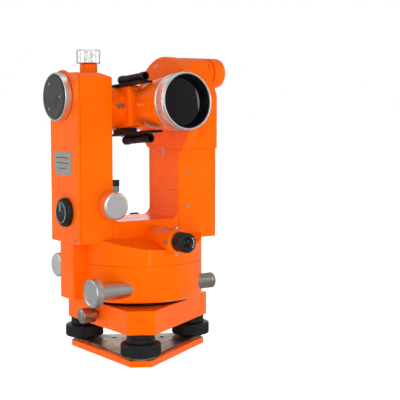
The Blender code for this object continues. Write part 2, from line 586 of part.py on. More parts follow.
def build_telescope():
    tilt = new_empty("telescope_axis", (0, 0, TRUNNION), (-TELESCOPE_TILT, 0, 0))
    half = (BLOCK_HALF_WIDTH, BLOCK_HALF_DEPTH, BLOCK_HALF_HEIGHT)
    body = box("telescope_body", "orange enamel", [-value for value in half], half, 3.0, parent=tilt)
    origin = (0, 0, 0)
    sleeve = rod_profile(19.6, GAP - RIGHT_INNER, GAP - LEFT_INNER - 2 * GAP)
    barrel = [(0, 40), (15, 40), (21.5, BARREL_END), (BARREL_FRONT_RADIUS, BARREL_END)]
    barrel += [(BARREL_REAR_RADIUS, BLOCK_HALF_DEPTH), (BARREL_REAR_RADIUS - 3, 8), (0, 8)]
    rear = [(0, 62), (13.7, 62), (13.7, 30), (17, 30), (17, 8), (0, 8)]
    join(
        body,
        turned("trunnion_sleeve", None, sleeve, origin, "-X", parent=tilt),
        turned("barrel", None, barrel, origin, "-Y", parent=tilt),
        turned("rear_tube", None, rear, origin, "+Y", parent=tilt),
    )
    ring = ring_profile(23.0, OBJECTIVE_RADIUS, BARREL_END + GAP, OBJECTIVE_END, 1.0)
    turned("objective_ring", "satin aluminium", ring, origin, "-Y", ring=True, parent=tilt)
    lens = [(0, 82.5), (12, 81.7), (22.6, 79.5), (22.6, 75), (0, 75)]
    turned("objective_lens", "coated glass", lens, origin, "-Y", parent=tilt)

    focus = ring_profile(AXLE_RADIUS, FOCUS_RADIUS, FOCUS_START, FOCUS_END)
    turned("focusing_ring", "black plastic", focus, origin, "+Y", ring=True, parent=tilt)
    eyepiece = [(0, EYEPIECE_END), (10, EYEPIECE_END), (14, 80), (14, EYEPIECE_START), (0, EYEPIECE_START)]
    turned(
        "telescope_eyepiece", "black plastic", eyepiece, origin, "+Y", sides=SMALL_SIDES, parent=tilt
    )

    microscope_at = (MICROSCOPE_X, 0, 0)
    tube = rod_profile(7, 20.3, 54)
    turned(
        "reading_microscope", "black anodised", tube, microscope_at, "+Y", sides=SMALL_SIDES, parent=tilt
    )
    cup = [(0, 72), (6, 72), (8.5, 69), (8.5, 54.3), (0, 54.3)]
    turned(
        "microscope_eyepiece", "black plastic", cup, microscope_at, "+Y", sides=SMALL_SIDES, parent=tilt
    )

    top = box("top_sight", "black anodised", (-27, -48, 20.4), (-12, 12, 22.4), parent=tilt)
    join(
        top,
        box("top_sight_web", None, (-21, -40, 22), (-17.6, -5, 25), parent=tilt),
        sight_tube("top_sight_tube", 4, 48, 26.3, tilt),
    )
    bottom = box("bottom_sight", "black anodised", (-27, -62, -26.8), (-12, 10, -24.5), parent=tilt)
    join(
        bottom,
        box("bottom_sight_spacer", None, (-24, -20, -25), (-14, 8, -20.3), parent=tilt),
        box("bottom_sight_web", None, (-21, -45, -29), (-17.6, -10, -26), parent=tilt),
        sight_tube("bottom_sight_tube", 7, 52, -31.5, tilt),
    )

    turned("left_axle", "steel", rod_profile(AXLE_RADIUS, 44, 60), origin, "-X", parent=tilt)
    turned("right_axle", "steel", rod_profile(AXLE_RADIUS, 30, 46), origin, "+X", parent=tilt)
    glass = ring_profile(AXLE_RADIUS + GAP, 43, 34.2, 37.6, 0.5)
    turned("vertical_circle", "glass", glass, origin, "+X", ring=True, parent=tilt)


def shade_parts():
    """Keeps each piece's mesh as its modifiers make it, smooth between its sharp edges."""
    graph = bpy.context.evaluated_depsgraph_get()
    pieces = [obj for obj in PARTS.objects if obj.type == "MESH"]
    meshes = [bpy.data.meshes.new_from_object(obj.evaluated_get(graph)) for obj in pieces]
    for obj, mesh in zip(pieces, meshes):
        mesh.name = obj.name
        mesh.shade_smooth()
        mesh.set_sharp_from_angle(angle=SHARP_ANGLE)
        obj.modifiers.clear()
        obj.data = mesh


clear_scene()
PARTS = new_collection("theodolite")
CUTTERS = new_collection("cutters")
build_base()
build_foot_screws()
build_centre()
build_drum()
build_left_standard()
build_micrometer()
build_right_standard()
build_telescope()
shade_parts()
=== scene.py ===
"""The looks of an optical theodolite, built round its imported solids.

Lengths are millimetres, and the shapes turn them into Blender's metres. A form is a bmesh, and piece()
joins forms into one object that rides on a body and stands for the plain solids it is drawn over.
"""

import json
import math

import bmesh
import bpy
from mathutils import Matrix, Vector


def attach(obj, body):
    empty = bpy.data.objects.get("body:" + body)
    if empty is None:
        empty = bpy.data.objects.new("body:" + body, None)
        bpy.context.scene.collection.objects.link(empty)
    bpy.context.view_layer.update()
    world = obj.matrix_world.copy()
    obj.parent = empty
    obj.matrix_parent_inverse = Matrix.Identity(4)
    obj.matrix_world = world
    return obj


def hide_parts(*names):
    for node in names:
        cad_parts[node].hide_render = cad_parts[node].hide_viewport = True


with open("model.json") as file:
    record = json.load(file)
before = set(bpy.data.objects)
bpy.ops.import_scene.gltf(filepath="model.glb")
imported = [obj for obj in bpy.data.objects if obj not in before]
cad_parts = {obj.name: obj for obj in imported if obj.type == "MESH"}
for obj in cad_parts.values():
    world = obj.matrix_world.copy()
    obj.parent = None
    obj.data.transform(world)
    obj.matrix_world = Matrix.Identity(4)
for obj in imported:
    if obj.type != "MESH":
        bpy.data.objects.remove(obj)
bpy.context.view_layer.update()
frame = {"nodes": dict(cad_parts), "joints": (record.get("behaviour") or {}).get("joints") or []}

MM = 0.001
ROW = Matrix()
ROUND = 96
WIDE_ROUND = 160
SMOOTH_BELOW = 38
SLOT_SHARE = 0.17
JOINTS = {joint["name"]: joint for joint in frame["joints"]}


# --- places read from the frame


def toward(direction, at=(0, 0, 0)):
    """A place whose Z axis runs in a direction from a point."""
    turn = Vector(direction).to_track_quat("Z", "Y").to_matrix().to_4x4()
    return Matrix.Translation(Vector(at) * MM) @ turn


def extent(node, place=ROW):
    """A solid's lowest and highest corner, as seen from a place."""
    inverse = place.inverted()
    points = [inverse @ vertex.co / MM for vertex in frame["nodes"][node].data.vertices]
    return Vector(map(min, zip(*points))), Vector(map(max, zip(*points)))


def axis_of(node, direction, within=ROW):
    """A round solid's axis as a place, then its first and last height on it, and its radius."""
    spot = toward(direction)
    low, high = extent(node, within @ spot)
    middle = (low + high) / 2
    place = within @ spot @ Matrix.Translation(Vector((middle.x, middle.y, 0)) * MM)
    return place, low.z, high.z, (high.x - low.x) / 2


TRUNNION = JOINTS["telescope_tilt"]["pos_m"]
REARWARD = Vector(JOINTS["focus_turn"]["axis"])
TELESCOPE = Matrix.Translation(TRUNNION) @ Matrix.Rotation(math.asin(REARWARD.z), 4, "X")
LEFT, RIGHT, FRONT, REAR, UP = (-1, 0, 0), (1, 0, 0), (0, -1, 0), (0, 1, 0), (0, 0, 1)


# --- forms


def ease(form, width, segments=3, angle=30, where=None):
    """Rounds the edges where two faces meet at more than an angle, or only those whose middle is chosen."""
    sharp = [e for e in form.edges if e.is_manifold and e.calc_face_angle() > math.radians(angle)]
    if where:
        sharp = [e for e in sharp if where((e.verts[0].co + e.verts[1].co) / 2 / MM)]
    bmesh.ops.bevel(
        form,
        geom=sharp,
        offset=width * MM,
        offset_type="OFFSET",
        segments=segments,
        profile=0.5,
        affect="EDGES",
        clamp_overlap=True,
        material=-1,
    )


def finished(form, place, edge, segments=3):
    bmesh.ops.remove_doubles(form, verts=form.verts, dist=0.0005 * MM)
    bmesh.ops.recalc_face_normals(form, faces=form.faces)
    if edge:
        ease(form, edge, segments)
    bmesh.ops.transform(form, matrix=place, verts=form.verts)
    return form


def lathe(profile, place=ROW, edge=0.4, ring=False, sides=ROUND, flutes=None):
    """A turned form from (radius, height) points. Flutes are (count, depth, low, high, least radius)."""
    form = bmesh.new()
    if flutes:
        sides = 4 * flutes[0]
    line = [form.verts.new((radius * MM, 0, height * MM)) for radius, height in profile]
    pairs = list(zip(line, line[1:]))
    if ring:
        pairs.append((line[-1], line[0]))
    edges = [form.edges.new(pair) for pair in pairs]
    bmesh.ops.spin(
        form, geom=line + edges, cent=(0, 0, 0), axis=(0, 0,
                                                       1), angle=2 * math.pi, steps=sides, use_merge=True
    )
    finished(form, ROW, edge, 2)
    if flutes:
        flute(form, *flutes)
    bmesh.ops.transform(form, matrix=place, verts=form.verts)
    return form


def band(inner, outer, low, high):
    """A square-edged profile between two radii and two heights."""
    return [(inner, high), (outer, high), (outer, low), (inner, low)]


def flute(form, count, depth, low, high, least):
    """Grooves along the axis, all round a turned form, between two heights."""
    for vertex in form.verts:
        radius = vertex.co.xy.length / MM
        if radius > least and low < vertex.co.z / MM < high:
            around = math.atan2(vertex.co.y, vertex.co.x)
            vertex.co.xy *= 1 - depth * (0.5 - 0.5 * math.cos(count * around)) / radius


def block(low, high, place=ROW, edge=1.0, segments=3):
    form = bmesh.new()
    size = Vector(high) - Vector(low)
    middle = (Vector(high) + Vector(low)) / 2
    where = Matrix.Translation(middle * MM) @ Matrix.Diagonal((*(size * MM), 1))
    bmesh.ops.create_cube(form, size=1, matrix=where)
    return finished(form, place, edge, segments)


def slab(outlines, low, high, place=ROW, edge=0.3, segments=2):
    """A flat form from outlines, the first outside and the rest holes, between two heights."""
    form = bmesh.new()
    for outline in outlines:
        corners = [form.verts.new((x * MM, y * MM, low * MM)) for x, y in outline]
        for pair in zip(corners, corners[1:] + corners[:1]):
            form.edges.new(pair)
    bmesh.ops.triangle_fill(form, edges=form.edges[:], use_beauty=True)
    grown = bmesh.ops.extrude_face_region(form, geom=form.faces[:])
    moved = [item for item in grown["geom"] if isinstance(item, bmesh.types.BMVert)]
    bmesh.ops.translate(form, verts=moved, vec=(0, 0, (high - low) * MM))
    bmesh.ops.dissolve_limit(form, angle_limit=0.01, verts=form.verts[:], edges=form.edges[:])
    return finished(form, place, edge, segments)


def slice_off(form, point, normal):
    """Takes away what lies past a plane, and closes the form there."""
    whole = form.verts[:] + form.edges[:] + form.faces[:]
    found = bmesh.ops.bisect_plane(form, geom=whole, plane_co=point, plane_no=normal, clear_outer=True)
    rims = [item for item in found["geom_cut"] if isinstance(item, bmesh.types.BMEdge)]
    bmesh.ops.edgeloop_fill(form, edges=[e for e in rims if e.is_boundary])


def spun(degrees, place=ROW):
    """A place turned about its own Z axis."""
    return place @ Matrix.Rotation(math.radians(degrees), 4, "Z")


def turned_point(x, y, degrees):
    angle = math.radians(degrees)
    return (x * math.cos(angle) - y * math.sin(angle), x * math.sin(angle) + y * math.cos(angle))


def arc(radius, start, end, centre=(0, 0), steps=24):
    """Points on an arc between two angles in degrees."""
    angles = [math.radians(start + (end - start) * i / steps) for i in range(steps + 1)]
    return [(centre[0] + radius * math.cos(a), centre[1] + radius * math.sin(a)) for a in angles]


def circle(radius, centre=(0, 0), steps=48):
    return arc(radius, 0, 360, centre, steps)[:-1]


def slotted_screw(at, direction, radius=1.6, height=0.9, turn=0):
    """A cheese head on a face: a disc under two half discs, with the driver's slot between them."""
    place = spun(turn, toward(direction, at))
    slot = math.degrees(math.asin(SLOT_SHARE))
    floor = height * 0.4
    halves = [
        slab([arc(radius, first + slot, first + 180 - slot, steps=16)], floor, height, place, 0.12, 1)
        for first in (0, 180)
    ]
    disc = band(0, radius, floor, -0.6)
    return [lathe(disc, place, 0, sides=32), *halves]


def screws_round(place, radius, height, angles, *size):
    """Slotted screws all round a turned form, their heads outward."""
    forms = []
    for angle in angles:
        spot = place @ (Vector((*turned_point(radius, 0, angle), height)) * MM)
        outward = place.to_3x3() @ Vector((*turned_point(1, 0, angle), 0))
        forms += slotted_screw(spot / MM, outward, *size)
    return forms


def piece(name, body, finish, *forms, stands_for=()):
    """One object made of forms, in a finish, which rides on a body and stands for CAD nodes."""
    whole = bmesh.new()
    for form in forms:
        mesh = bpy.data.meshes.new(name)
        form.to_mesh(mesh)
        form.free()
        whole.from_mesh(mesh)
        bpy.data.meshes.remove(mesh)
    mesh = bpy.data.meshes.new(name)
    whole.to_mesh(mesh)
    whole.free()
    mesh.shade_smooth()
    mesh.set_sharp_from_angle(angle=math.radians(SMOOTH_BELOW))
    material, slot = finish
    mesh.materials.append(material)
    obj = bpy.data.objects.new(name, mesh)
    bpy.context.scene.collection.objects.link(obj)
    shading = obj.modifiers.new("Flat faces", "WEIGHTED_NORMAL")
    shading.keep_sharp = True
    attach(obj, body)
    if stands_for:
        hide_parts(*stands_for)
    return obj


def turned(name, body, finish, profile, place, edge, *nodes, **more):
    """A piece that is one turned form."""
    return piece(name, body, finish, lathe(profile, place, edge, **more), stands_for=nodes)


# --- materials


def colour(code):
    """A linear colour from an sRGB hex code."""
    channels = [int(code[i : i + 2], 16) / 255 for i in (1, 3, 5)]
    linear = [c / 12.92 if c <= 0.04045 else ((c + 0.055) / 1.055) ** 2.4 for c in channels]
    return (*linear, 1)


def add_node(tree, kind, settings=None, links=None):
    """Adds a shader node. Settings name its properties or sockets, and links its inputs."""
    node = tree.nodes.new("ShaderNode" + kind)
    for name, value in (settings or {}).items():
        if name[0].islower():
            setattr(node, name, value)
        else:
            node.inputs[name].default_value = value
    for name, output in (links or {}).items():
        tree.links.new(output, node.inputs[name])
    return node


def start(name, code, **sockets):
    """A Principled material, its tree, its shader and the piece's own coordinates."""
    material = bpy.data.materials.new(name)
    material.use_nodes = True
    material.diffuse_color = colour(code)
    tree = material.node_tree
    shader = tree.nodes["Principled BSDF"]
    shader.inputs["Base Color"].default_value = colour(code)
    for socket, value in sockets.items():
        shader.inputs[socket.replace("_", " ")].default_value = value
    return material, tree, shader, add_node(tree, "TexCoord").outputs["Object"]


def noise(tree, where, size, detail=3.0, **more):
    """Noise whose blotches are about a size across, in mm."""
    settings = {"Scale": 1 / (size * MM), "Detail": detail, **more}
    return add_node(tree, "TexNoise", settings, {"Vector": where}).outputs["Fac"]


def seen_from(tree, where, place):
    """The coordinates as a place sees them, so that a pattern centres on its axis."""
    inverse = place.inverted()
    mapping = {"Location": inverse.to_translation(), "Rotation": inverse.to_euler()}
    return add_node(tree, "Mapping", mapping, {"Vector": where}).outputs["Vector"]


def stretched(tree, where, *scale):
    """The coordinates squeezed along an axis, which draws a pattern out across it."""
    return add_node(tree, "Mapping", {"Scale": scale}, {"Vector": where}).outputs["Vector"]


def spread(tree, factor, low, high):
    """The factor's middle range stretched between two values."""
    return add_node(
        tree, "MapRange", {"From Min": 0.3, "From Max": 0.7, "To Min": low, "To Max": high}, {"Value": factor}
    ).outputs["Result"]


def tint(tree, shader, factor, first, second):
    """The base colour wanders between two codes."""
    mix = add_node(tree, "Mix", {"data_type": "RGBA"}, {"Factor": factor})
    mix.inputs[6].default_value = colour(first)
    mix.inputs[7].default_value = colour(second)
    tree.links.new(mix.outputs[2], shader.inputs["Base Color"])


def roughness(tree, shader, factor, low, high):
    tree.links.new(spread(tree, factor, low, high), shader.inputs["Roughness"])


def bump(tree, shader, height, depth, strength=1.0):
    """Raises the surface by a height whose full range is a depth in mm."""
    node = add_node(tree, "Bump", {"Strength": strength, "Distance": depth * MM}, {"Height": height})
    tree.links.new(node.outputs["Normal"], shader.inputs["Normal"])


def stove_enamel():
    """Stove enamel sprayed on cast aluminium: deep orange, glossy, with a faint orange peel in highlights."""
    material, tree, shader, where = start(
        "stove enamel", ORANGE, Coat_Weight=0.1, Coat_Roughness=0.08, Specular_IOR_Level=0.3,
        Specular_Tint=colour("#ff9640"),
    )
    cloud = noise(tree, where, 40, 2)
    tint(tree, shader, spread(tree, cloud, 0, 1), ORANGE, ORANGE_DEEP)
    roughness(tree, shader, noise(tree, where, 9, 4), 0.22, 0.3)
    # The peel of sprayed enamel is about 1 mm across, drawn at 1.6 mm so that it shows.
    bump(tree, shader, noise(tree, where, 1.6, 1), 0.008, 0.12)
    return material, "orange_enamel"


def turned_metal(name, code, place, rings=0.7, slot="satin_aluminium"):
    """Metal faced on a lathe: satin, with tool rings about the axis and a little staining."""
    material, tree, shader, where = start(name, code, Metallic=1.0)
    centred = seen_from(tree, where, place)
    # Real tool rings are 0.1 mm apart, drawn wider so that they show.
    scale = 2 * math.pi / (20 * rings * MM)
    tool = {"wave_type": "RINGS", "rings_direction": "Z", "Scale": scale, "Distortion": 0.6, "Detail": 1.0}
    marks = add_node(tree, "TexWave", tool, {"Vector": centred}).outputs["Fac"]
    stain = noise(tree, where, 11, 2)
    roughness(tree, shader, stain, 0.3, 0.38)
    tint(tree, shader, spread(tree, stain, 0, 1), code, shade(code, 0.94))
    bump(tree, shader, marks, 0.006, 0.35)
    return material, slot


def shade(code, amount):
    """A hex code made darker."""
    return "#" + "".join(f"{int(int(code[i : i + 2], 16) * amount):02x}" for i in (1, 3, 5))


def moulded(name, code, slot, grain=0.5, depth=0.03, shine=(0.38, 0.52)):
    """Moulded ABS: dull, with the fine spark-eroded grain of its mould and slightly polished high spots."""
    material, tree, shader, where = start(name, code, Specular_IOR_Level=0.45)
    roughness(tree, shader, noise(tree, where, 5, 4), *shine)
    tint(tree, shader, spread(tree, noise(tree, where, 12, 3), 0, 1), code, shade(code, 0.72))
    # The grain is about 0.1 mm, drawn coarser so that it shows.
    bump(tree, shader, noise(tree, where, grain, 2), depth, 0.4)
    return material, slot


def anodised():
    """Bead-blasted, black anodised aluminium: a dark grey sheen, paler where it has been handled."""
    material, tree, shader, where = start("black anodised aluminium", "#1b1b1d", Metallic=0.75)
    wear = noise(tree, where, 8, 5, Roughness=0.6)
    tint(tree, shader, spread(tree, wear, 0, 1), "#141416", "#323235")
    roughness(tree, shader, noise(tree, where, 3, 4), 0.3, 0.46)
    bump(tree, shader, noise(tree, where, 0.6, 2), 0.01, 0.3)
    return material, "black_anodised"


def ground_steel(name, code):
    """Ground steel: bright, with fine straight grinding lines and a little staining."""
    material, tree, shader, where = start(name, code, Metallic=1.0)
    grain = stretched(tree, where, 1, 1, 14)
    lines = noise(tree, grain, 3, 4)
    roughness(tree, shader, lines, 0.18, 0.34)
    tint(tree, shader, spread(tree, noise(tree, where, 9, 4), 0, 1), code, shade(code, 0.8))
    bump(tree, shader, lines, 0.01, 0.25)
    return material, "steel"


def rolled_sheet():
    """Nickel-plated spring sheet: a rolled grain along Y, bright, with soft beige and brown cloudy patches
    that are painted reflections.
    """
    material, tree, shader, where = start("nickel-plated spring sheet", "#c9c4b8", Metallic=1.0)
    grain = stretched(tree, where, 9, 1, 1)
    roughness(tree, shader, noise(tree, grain, 5, 4), 0.3, 0.46)
    # The beige to dark brown clouds are painted reflections of the surroundings in the plated sheet.
    tint(tree, shader, spread(tree, noise(tree, where, 16, 3), 0, 1), "#cbbf9f", "#77695a")
    bump(tree, shader, noise(tree, grain, 2, 3), 0.012, 0.3)
    return material, "satin_aluminium"


def brushed_plate():
    """A label of brushed aluminium: fine lines along Y."""
    material, tree, shader, where = start("brushed label aluminium", "#b9b6b0", Metallic=0.85)
    grain = stretched(tree, where, 1, 1, 12)
    lines = noise(tree, grain, 4, 4)
    roughness(tree, shader, lines, 0.3, 0.5)
    tint(tree, shader, spread(tree, lines, 0, 1), "#c6c3bd", "#95928c")
    bump(tree, shader, lines, 0.01, 0.3)
    return material, "satin_aluminium"


def coated_lens():
    """A coated objective over a black tube: nearly black, with a violet bloom painted towards the edge, a
    painted reflection of the coating that grows as the view grazes.
    """
    material, tree, shader, where = start(
        "coated crown glass", "#060507", Coat_Weight=0.35, Coat_Roughness=0.03, Specular_IOR_Level=0.2
    )
    # Painted reflection: the base colour turns violet as the view grazes the glass.
    edge = add_node(tree, "LayerWeight", {"Blend": 0.35}).outputs["Facing"]
    tint(tree, shader, edge, "#050406", "#1b1622")
    roughness(tree, shader, noise(tree, where, 15, 2), 0.02, 0.06)
    return material, "coated_glass"


def clear_glass(name, code):
    """Polished optical glass: clear, with a little dust that dulls it in patches."""
    material, tree, shader, where = start(name, code, Transmission_Weight=0.85, IOR=1.5)
    haze = noise(tree, where, 4, 5)
    roughness(tree, shader, haze, 0.02, 0.12)
    tint(tree, shader, spread(tree, haze, 0, 1), code, shade(code, 0.92))
    return material, "glass"


def graduated_glass(name, place):
    """A glass circle with its dark graduation, drawn as coarse as a degree so that it shows."""
    material, tree, shader, where = start(name, "#d6dee0", Transmission_Weight=0.6, IOR=1.5)
    centred = seen_from(tree, where, place)
    around = add_node(tree, "TexGradient", {"gradient_type": "RADIAL"}, {"Vector": centred}).outputs["Fac"]
    turns = add_node(tree, "Math", {"operation": "MULTIPLY"}, {"Value": around})
    turns.inputs[1].default_value = 360
    wave = add_node(tree, "Math", {"operation": "PINGPONG"}, {"Value": turns.outputs[0]})
    wave.inputs[1].default_value = 0.5
    line = add_node(tree, "MapRange", {"From Min": 0.1, "From Max": 0.16}, {"Value": wave.outputs[0]})
    tint(tree, shader, line.outputs["Result"], "#101214", "#d6dee0")
    roughness(tree, shader, noise(tree, where, 5, 4), 0.03, 0.12)
    return material, "glass"


def machined_brass():
    """Machined brass: warm yellow, with turning marks and dull spots where it has tarnished."""
    material, tree, shader, where = start("drawn brass", "#c9a35c", Metallic=1.0)
    spots = noise(tree, where, 4, 5)
    tint(tree, shader, spread(tree, spots, 0, 1), "#cfab66", "#9a7a3f")
    roughness(tree, shader, spots, 0.22, 0.4)
    bump(tree, shader, noise(tree, where, 0.8, 2), 0.01, 0.3)
    return material, "brass"


def tube_black():
    """Flat optical black inside tubes: a matt paint that swallows stray light."""
    material, tree, shader, where = start("flat optical black", "#050505", Specular_IOR_Level=0.2)
    roughness(tree, shader, noise(tree, where, 1.5, 3), 0.7, 0.9)
    tint(tree, shader, noise(tree, where, 3, 3), "#030303", "#0c0c0c")
    bump(tree, shader, noise(tree, where, 0.5, 2), 0.02, 0.3)
    return material, "black_plastic"


def filled_mark():
    """White paint filled into an engraved line: chalky, a little uneven."""
    material, tree, shader, where = start("white filling paint", "#dcdcd8")
    tint(tree, shader, noise(tree, where, 1.2, 4), "#efefec", "#a9a9a4")
    roughness(tree, shader, noise(tree, where, 2, 3), 0.5, 0.7)
    return material, "satin_aluminium"


def level_spirit():
    """The tinted spirit in a level: clear yellow-green."""
    material, tree, shader, where = start("level spirit", "#c6d64a", Transmission_Weight=0.4, IOR=1.36,
                                          Coat_Weight=1.0)
    tint(tree, shader, noise(tree, where, 6, 2), "#cfe05a", "#a9bb35")
    roughness(tree, shader, noise(tree, where, 6, 2), 0.02, 0.06)
    return material, "glass"


ORANGE, ORANGE_DEEP = "#ff6a00", "#fb6300"
SILVER = "#d6d6d4"
ENAMEL = stove_enamel()
BLACK_ABS = moulded("moulded black ABS", "#0b0b0c", "black_plastic", shine=(0.42, 0.55))
DARK_GREY = moulded("dark grey nylon", "#3f3f3c", "grey_plastic", 0.8, 0.02, (0.42, 0.58))
ANODISED = anodised()
STEEL = ground_steel("ground steel", "#b9b9b6")
SCREW_STEEL = ground_steel("plated screw steel", "#d8d8d4")
SPRING_SHEET = rolled_sheet()
LABEL = brushed_plate()
LENS = coated_lens()
BRASS = machined_brass()
OPTICAL_BLACK = tube_black()
WHITE_MARK = filled_mark()
SPIRIT = level_spirit()
LEVEL_GLASS = clear_glass("level glass", "#e8efe6")


# --- levelling base

FOOT_ANGLES = {"a": 0, "b": 120, "c": 240}
TRIPOD_HOLE = 7.94
SPRING_ARM, SPRING_ARM_RADIUS, SPRING_WAIST = 58, 14.5, 40


def cut_triangle(inradius, corner):
    half = (inradius - corner / 2) / math.sin(math.radians(60))
    return [turned_point(corner, side * half, angle) for angle in FOOT_ANGLES.values() for side in (-1, 1)]


def corner_and_inradius(node):
    """How far a three-cornered solid reaches towards a foot and away from it."""
    low, high = extent(node)
    return -low.x, high.x


def levelling_base():
    inradius, corner = corner_and_inradius("base_plate")
    top = extent("base_plate")[1].z
    plate = slab([cut_triangle(inradius, corner), circle(TRIPOD_HOLE)], 0, top, ROW, 0.9, 3)
    piece("base_casting", "base", ENAMEL, plate, stands_for=["base_plate"])

    low, high = extent("spring_plate")
    sheet_top = low.z + 1.2
    feet = {key: axis_of(f"foot_knob_{key}", UP)[0].to_translation() / MM for key in FOOT_ANGLES}
    points = []
    for angle in FOOT_ANGLES.values():
        points += [turned_point(x, y, angle) for x, y in arc(SPRING_ARM_RADIUS, -100, 100, (SPRING_ARM, 0))]
        points.append(turned_point(SPRING_WAIST, 0, angle + 60))
    holes = [circle(8, spot.xy, 32) for spot in feet.values()]
    star = slab([points, circle(16), *holes], low.z, sheet_top, ROW, 0.25, 2)
    seats = [
        lathe([(8.6, high.z), (11, high.z - 0.8), (11, low.z), (6.3, low.z), (6.3, high.z)],
              Matrix.Translation((*(spot.xy * MM), 0)), 0.25, ring=True, sides=64)
        for spot in feet.values()
    ]
    piece("levelling_spring", "base", SPRING_SHEET, star, *seats, stands_for=["spring_plate"])
    rivets = []
    for angle in FOOT_ANGLES.values():
        for reach, side in ((33, -9), (33, 9)):
            rivets += slotted_screw((*turned_point(reach, side, angle), sheet_top), UP, 2, 0.8,
                                    angle + 30 * side)
    piece("spring_screws", "base", SCREW_STEEL, *rivets)

    inradius, corner = corner_and_inradius("tribrach_body")
    low, high = extent("tribrach_body")
    body = slab([cut_triangle(inradius, corner), circle(30)], low.z, high.z, ROW, 0.9, 3)
    piece("tribrach_casting", "base", ENAMEL, body, stands_for=["tribrach_body"])
    # Black dots on each corner face stand in for punch marks: painted shade of the dimples.
    pips = []
    for angle in FOOT_ANGLES.values():
        outward = (*turned_point(1, 0, angle), 0)
        for side, rise in ((-3, 0), (0, 0.8), (3, 0)):
            spot = (*turned_point(corner - 0.55, side, angle), (low.z + high.z) / 2 + 2 + rise)
            pips.append(lathe(band(0, 0.5, 0, 0.62), toward(outward, spot), 0.1, sides=24))
    piece("tribrach_punch_mark_shade", "base", OPTICAL_BLACK, *pips)

    socket = axis_of("centre_socket", UP)[0]
    finish = turned_metal("blackened socket steel", "#2b2825", socket, slot="steel")
    low, high = extent("centre_socket")
    flange, seat = 58.2, 53.8
    profile = [(20, high.z), (20, flange), (50, flange), (50, seat), (29.7, seat), (29.7, low.z),
               (14.3, low.z)]
    profile.append((14.3, high.z))
    turned("socket_flange", "base", finish, profile, socket, 0.5, "centre_socket", ring=True)


def foot_screws():
    for key in FOOT_ANGLES:
        body = f"foot_{key}"
        place, low, high, radius = axis_of(f"foot_knob_{key}", UP)
        knob = [(5.3, high), (radius - 2.2, high), (radius - 0.7, high - 0.5), (radius, high - 1.6)]
        knob += [(radius, low + 1), (radius - 0.9, low), (5.3, low)]
        turned(f"levelling_knob_{key}", body, BLACK_ABS, knob, place, 0.3, f"foot_knob_{key}",
               ring=True, flutes=(72, 0.45, low + 1.2, high - 1.8, radius - 1))

        place, low, high, radius = axis_of(f"foot_screw_{key}", UP)
        thread = [(0, high), (3.6, high), (4, high - 0.4)]
        height = high - 1
        while height > 23.8:
            thread += [(4, height), (3.5, height - 0.5)]
            height -= 1
        thread += [(4, 23), (5, 22.4), (5, 8.8), (3.4, low), (0, low)]
        piece(
            f"levelling_screw_{key}", body, STEEL, lathe(thread, place, 0,
                                                         sides=48), stands_for=[f"foot_screw_{key}"]
        )

        place, low, high, radius = axis_of(f"foot_collar_{key}", UP)
        rings = [(5.3, high), (radius - 0.8, high), (radius, high - 0.8), (radius, high - 2.6),
                 (radius - 0.7, high - 3)]
        rings += [(radius - 0.7, high - 3.6), (radius, high - 4), (radius, low), (5.3, low)]
        collar = lathe(rings, place, 0.3, ring=True)
        piece(f"levelling_collar_{key}", "base", BLACK_ABS, collar, stands_for=[f"foot_collar_{key}"])


def tribrach_fittings():
    place, low, high, radius = axis_of("tribrach_clamp_knob", LEFT)
    body_side = -extent("tribrach_body")[0].x
    start_at = body_side + 4
    knob = [(0, high), (radius - 2, high), (radius, high - 1.4), (radius, start_at), (4, start_at - 0.3)]
    knob += [(4, body_side + 0.6), (3, body_side), (3, low), (0, low)]
    finish = turned_metal("knurled knob aluminium", "#b3aba6", place)
    turned("tribrach_clamp_grip", "tribrach_clamp", finish, knob, place, 0.4, "tribrach_clamp_knob",
           flutes=(44, 0.45, start_at + 0.8, high - 1.8, radius - 1))

    direction = spun(60)
    low, high = extent("circular_level", direction)
    reach, cup = 74, 10.5
    place = direction @ Matrix.Translation((reach * MM, 0, 0))
    wall = [(cup, 51), (cup - 0.9, high.z), (8.2, high.z), (8.2, 49), (0, 49), (0, 41), (cup, 41)]
    housing = turned_metal("turned level cup aluminium", "#c4c4c2", place)
    arm = block((low.x, -7, low.z), (reach, 7, 41.6), direction, 1.2)
    piece("circular_level_cup", "base", housing, lathe(wall, place, 0.3), arm, stands_for=["circular_level"])
    spirit = lathe([(0, 50.6), (4, 50.5), (8.1, 50), (8.1, 49.1), (0, 49.1)], place, 0.1)
    piece("circular_level_spirit", "base", SPIRIT, spirit)
    bubble = lathe([(0, 51.0), (1.6, 50.9), (2.6, 50.6), (2.6, 50.4), (0, 50.4)], place, 0.1, sides=48)
    piece("circular_level_bubble", "base", LEVEL_GLASS, bubble)
    ring = lathe(band(3.2, 3.5, 50.4, 50.9), place, 0, ring=True, sides=64)
    piece("circular_level_ring", "base", OPTICAL_BLACK, ring)
    screws = screws_round(place, cup + 0.2, 45, (90, 210, 330), 1.3, 1)
    piece("circular_level_screws", "base", SCREW_STEEL, *screws)


# --- drum of the alidade


CASTING_SLOPE, CASTING_REACH = 14.6, 27
DRUM_SCREW_ANGLE = -78


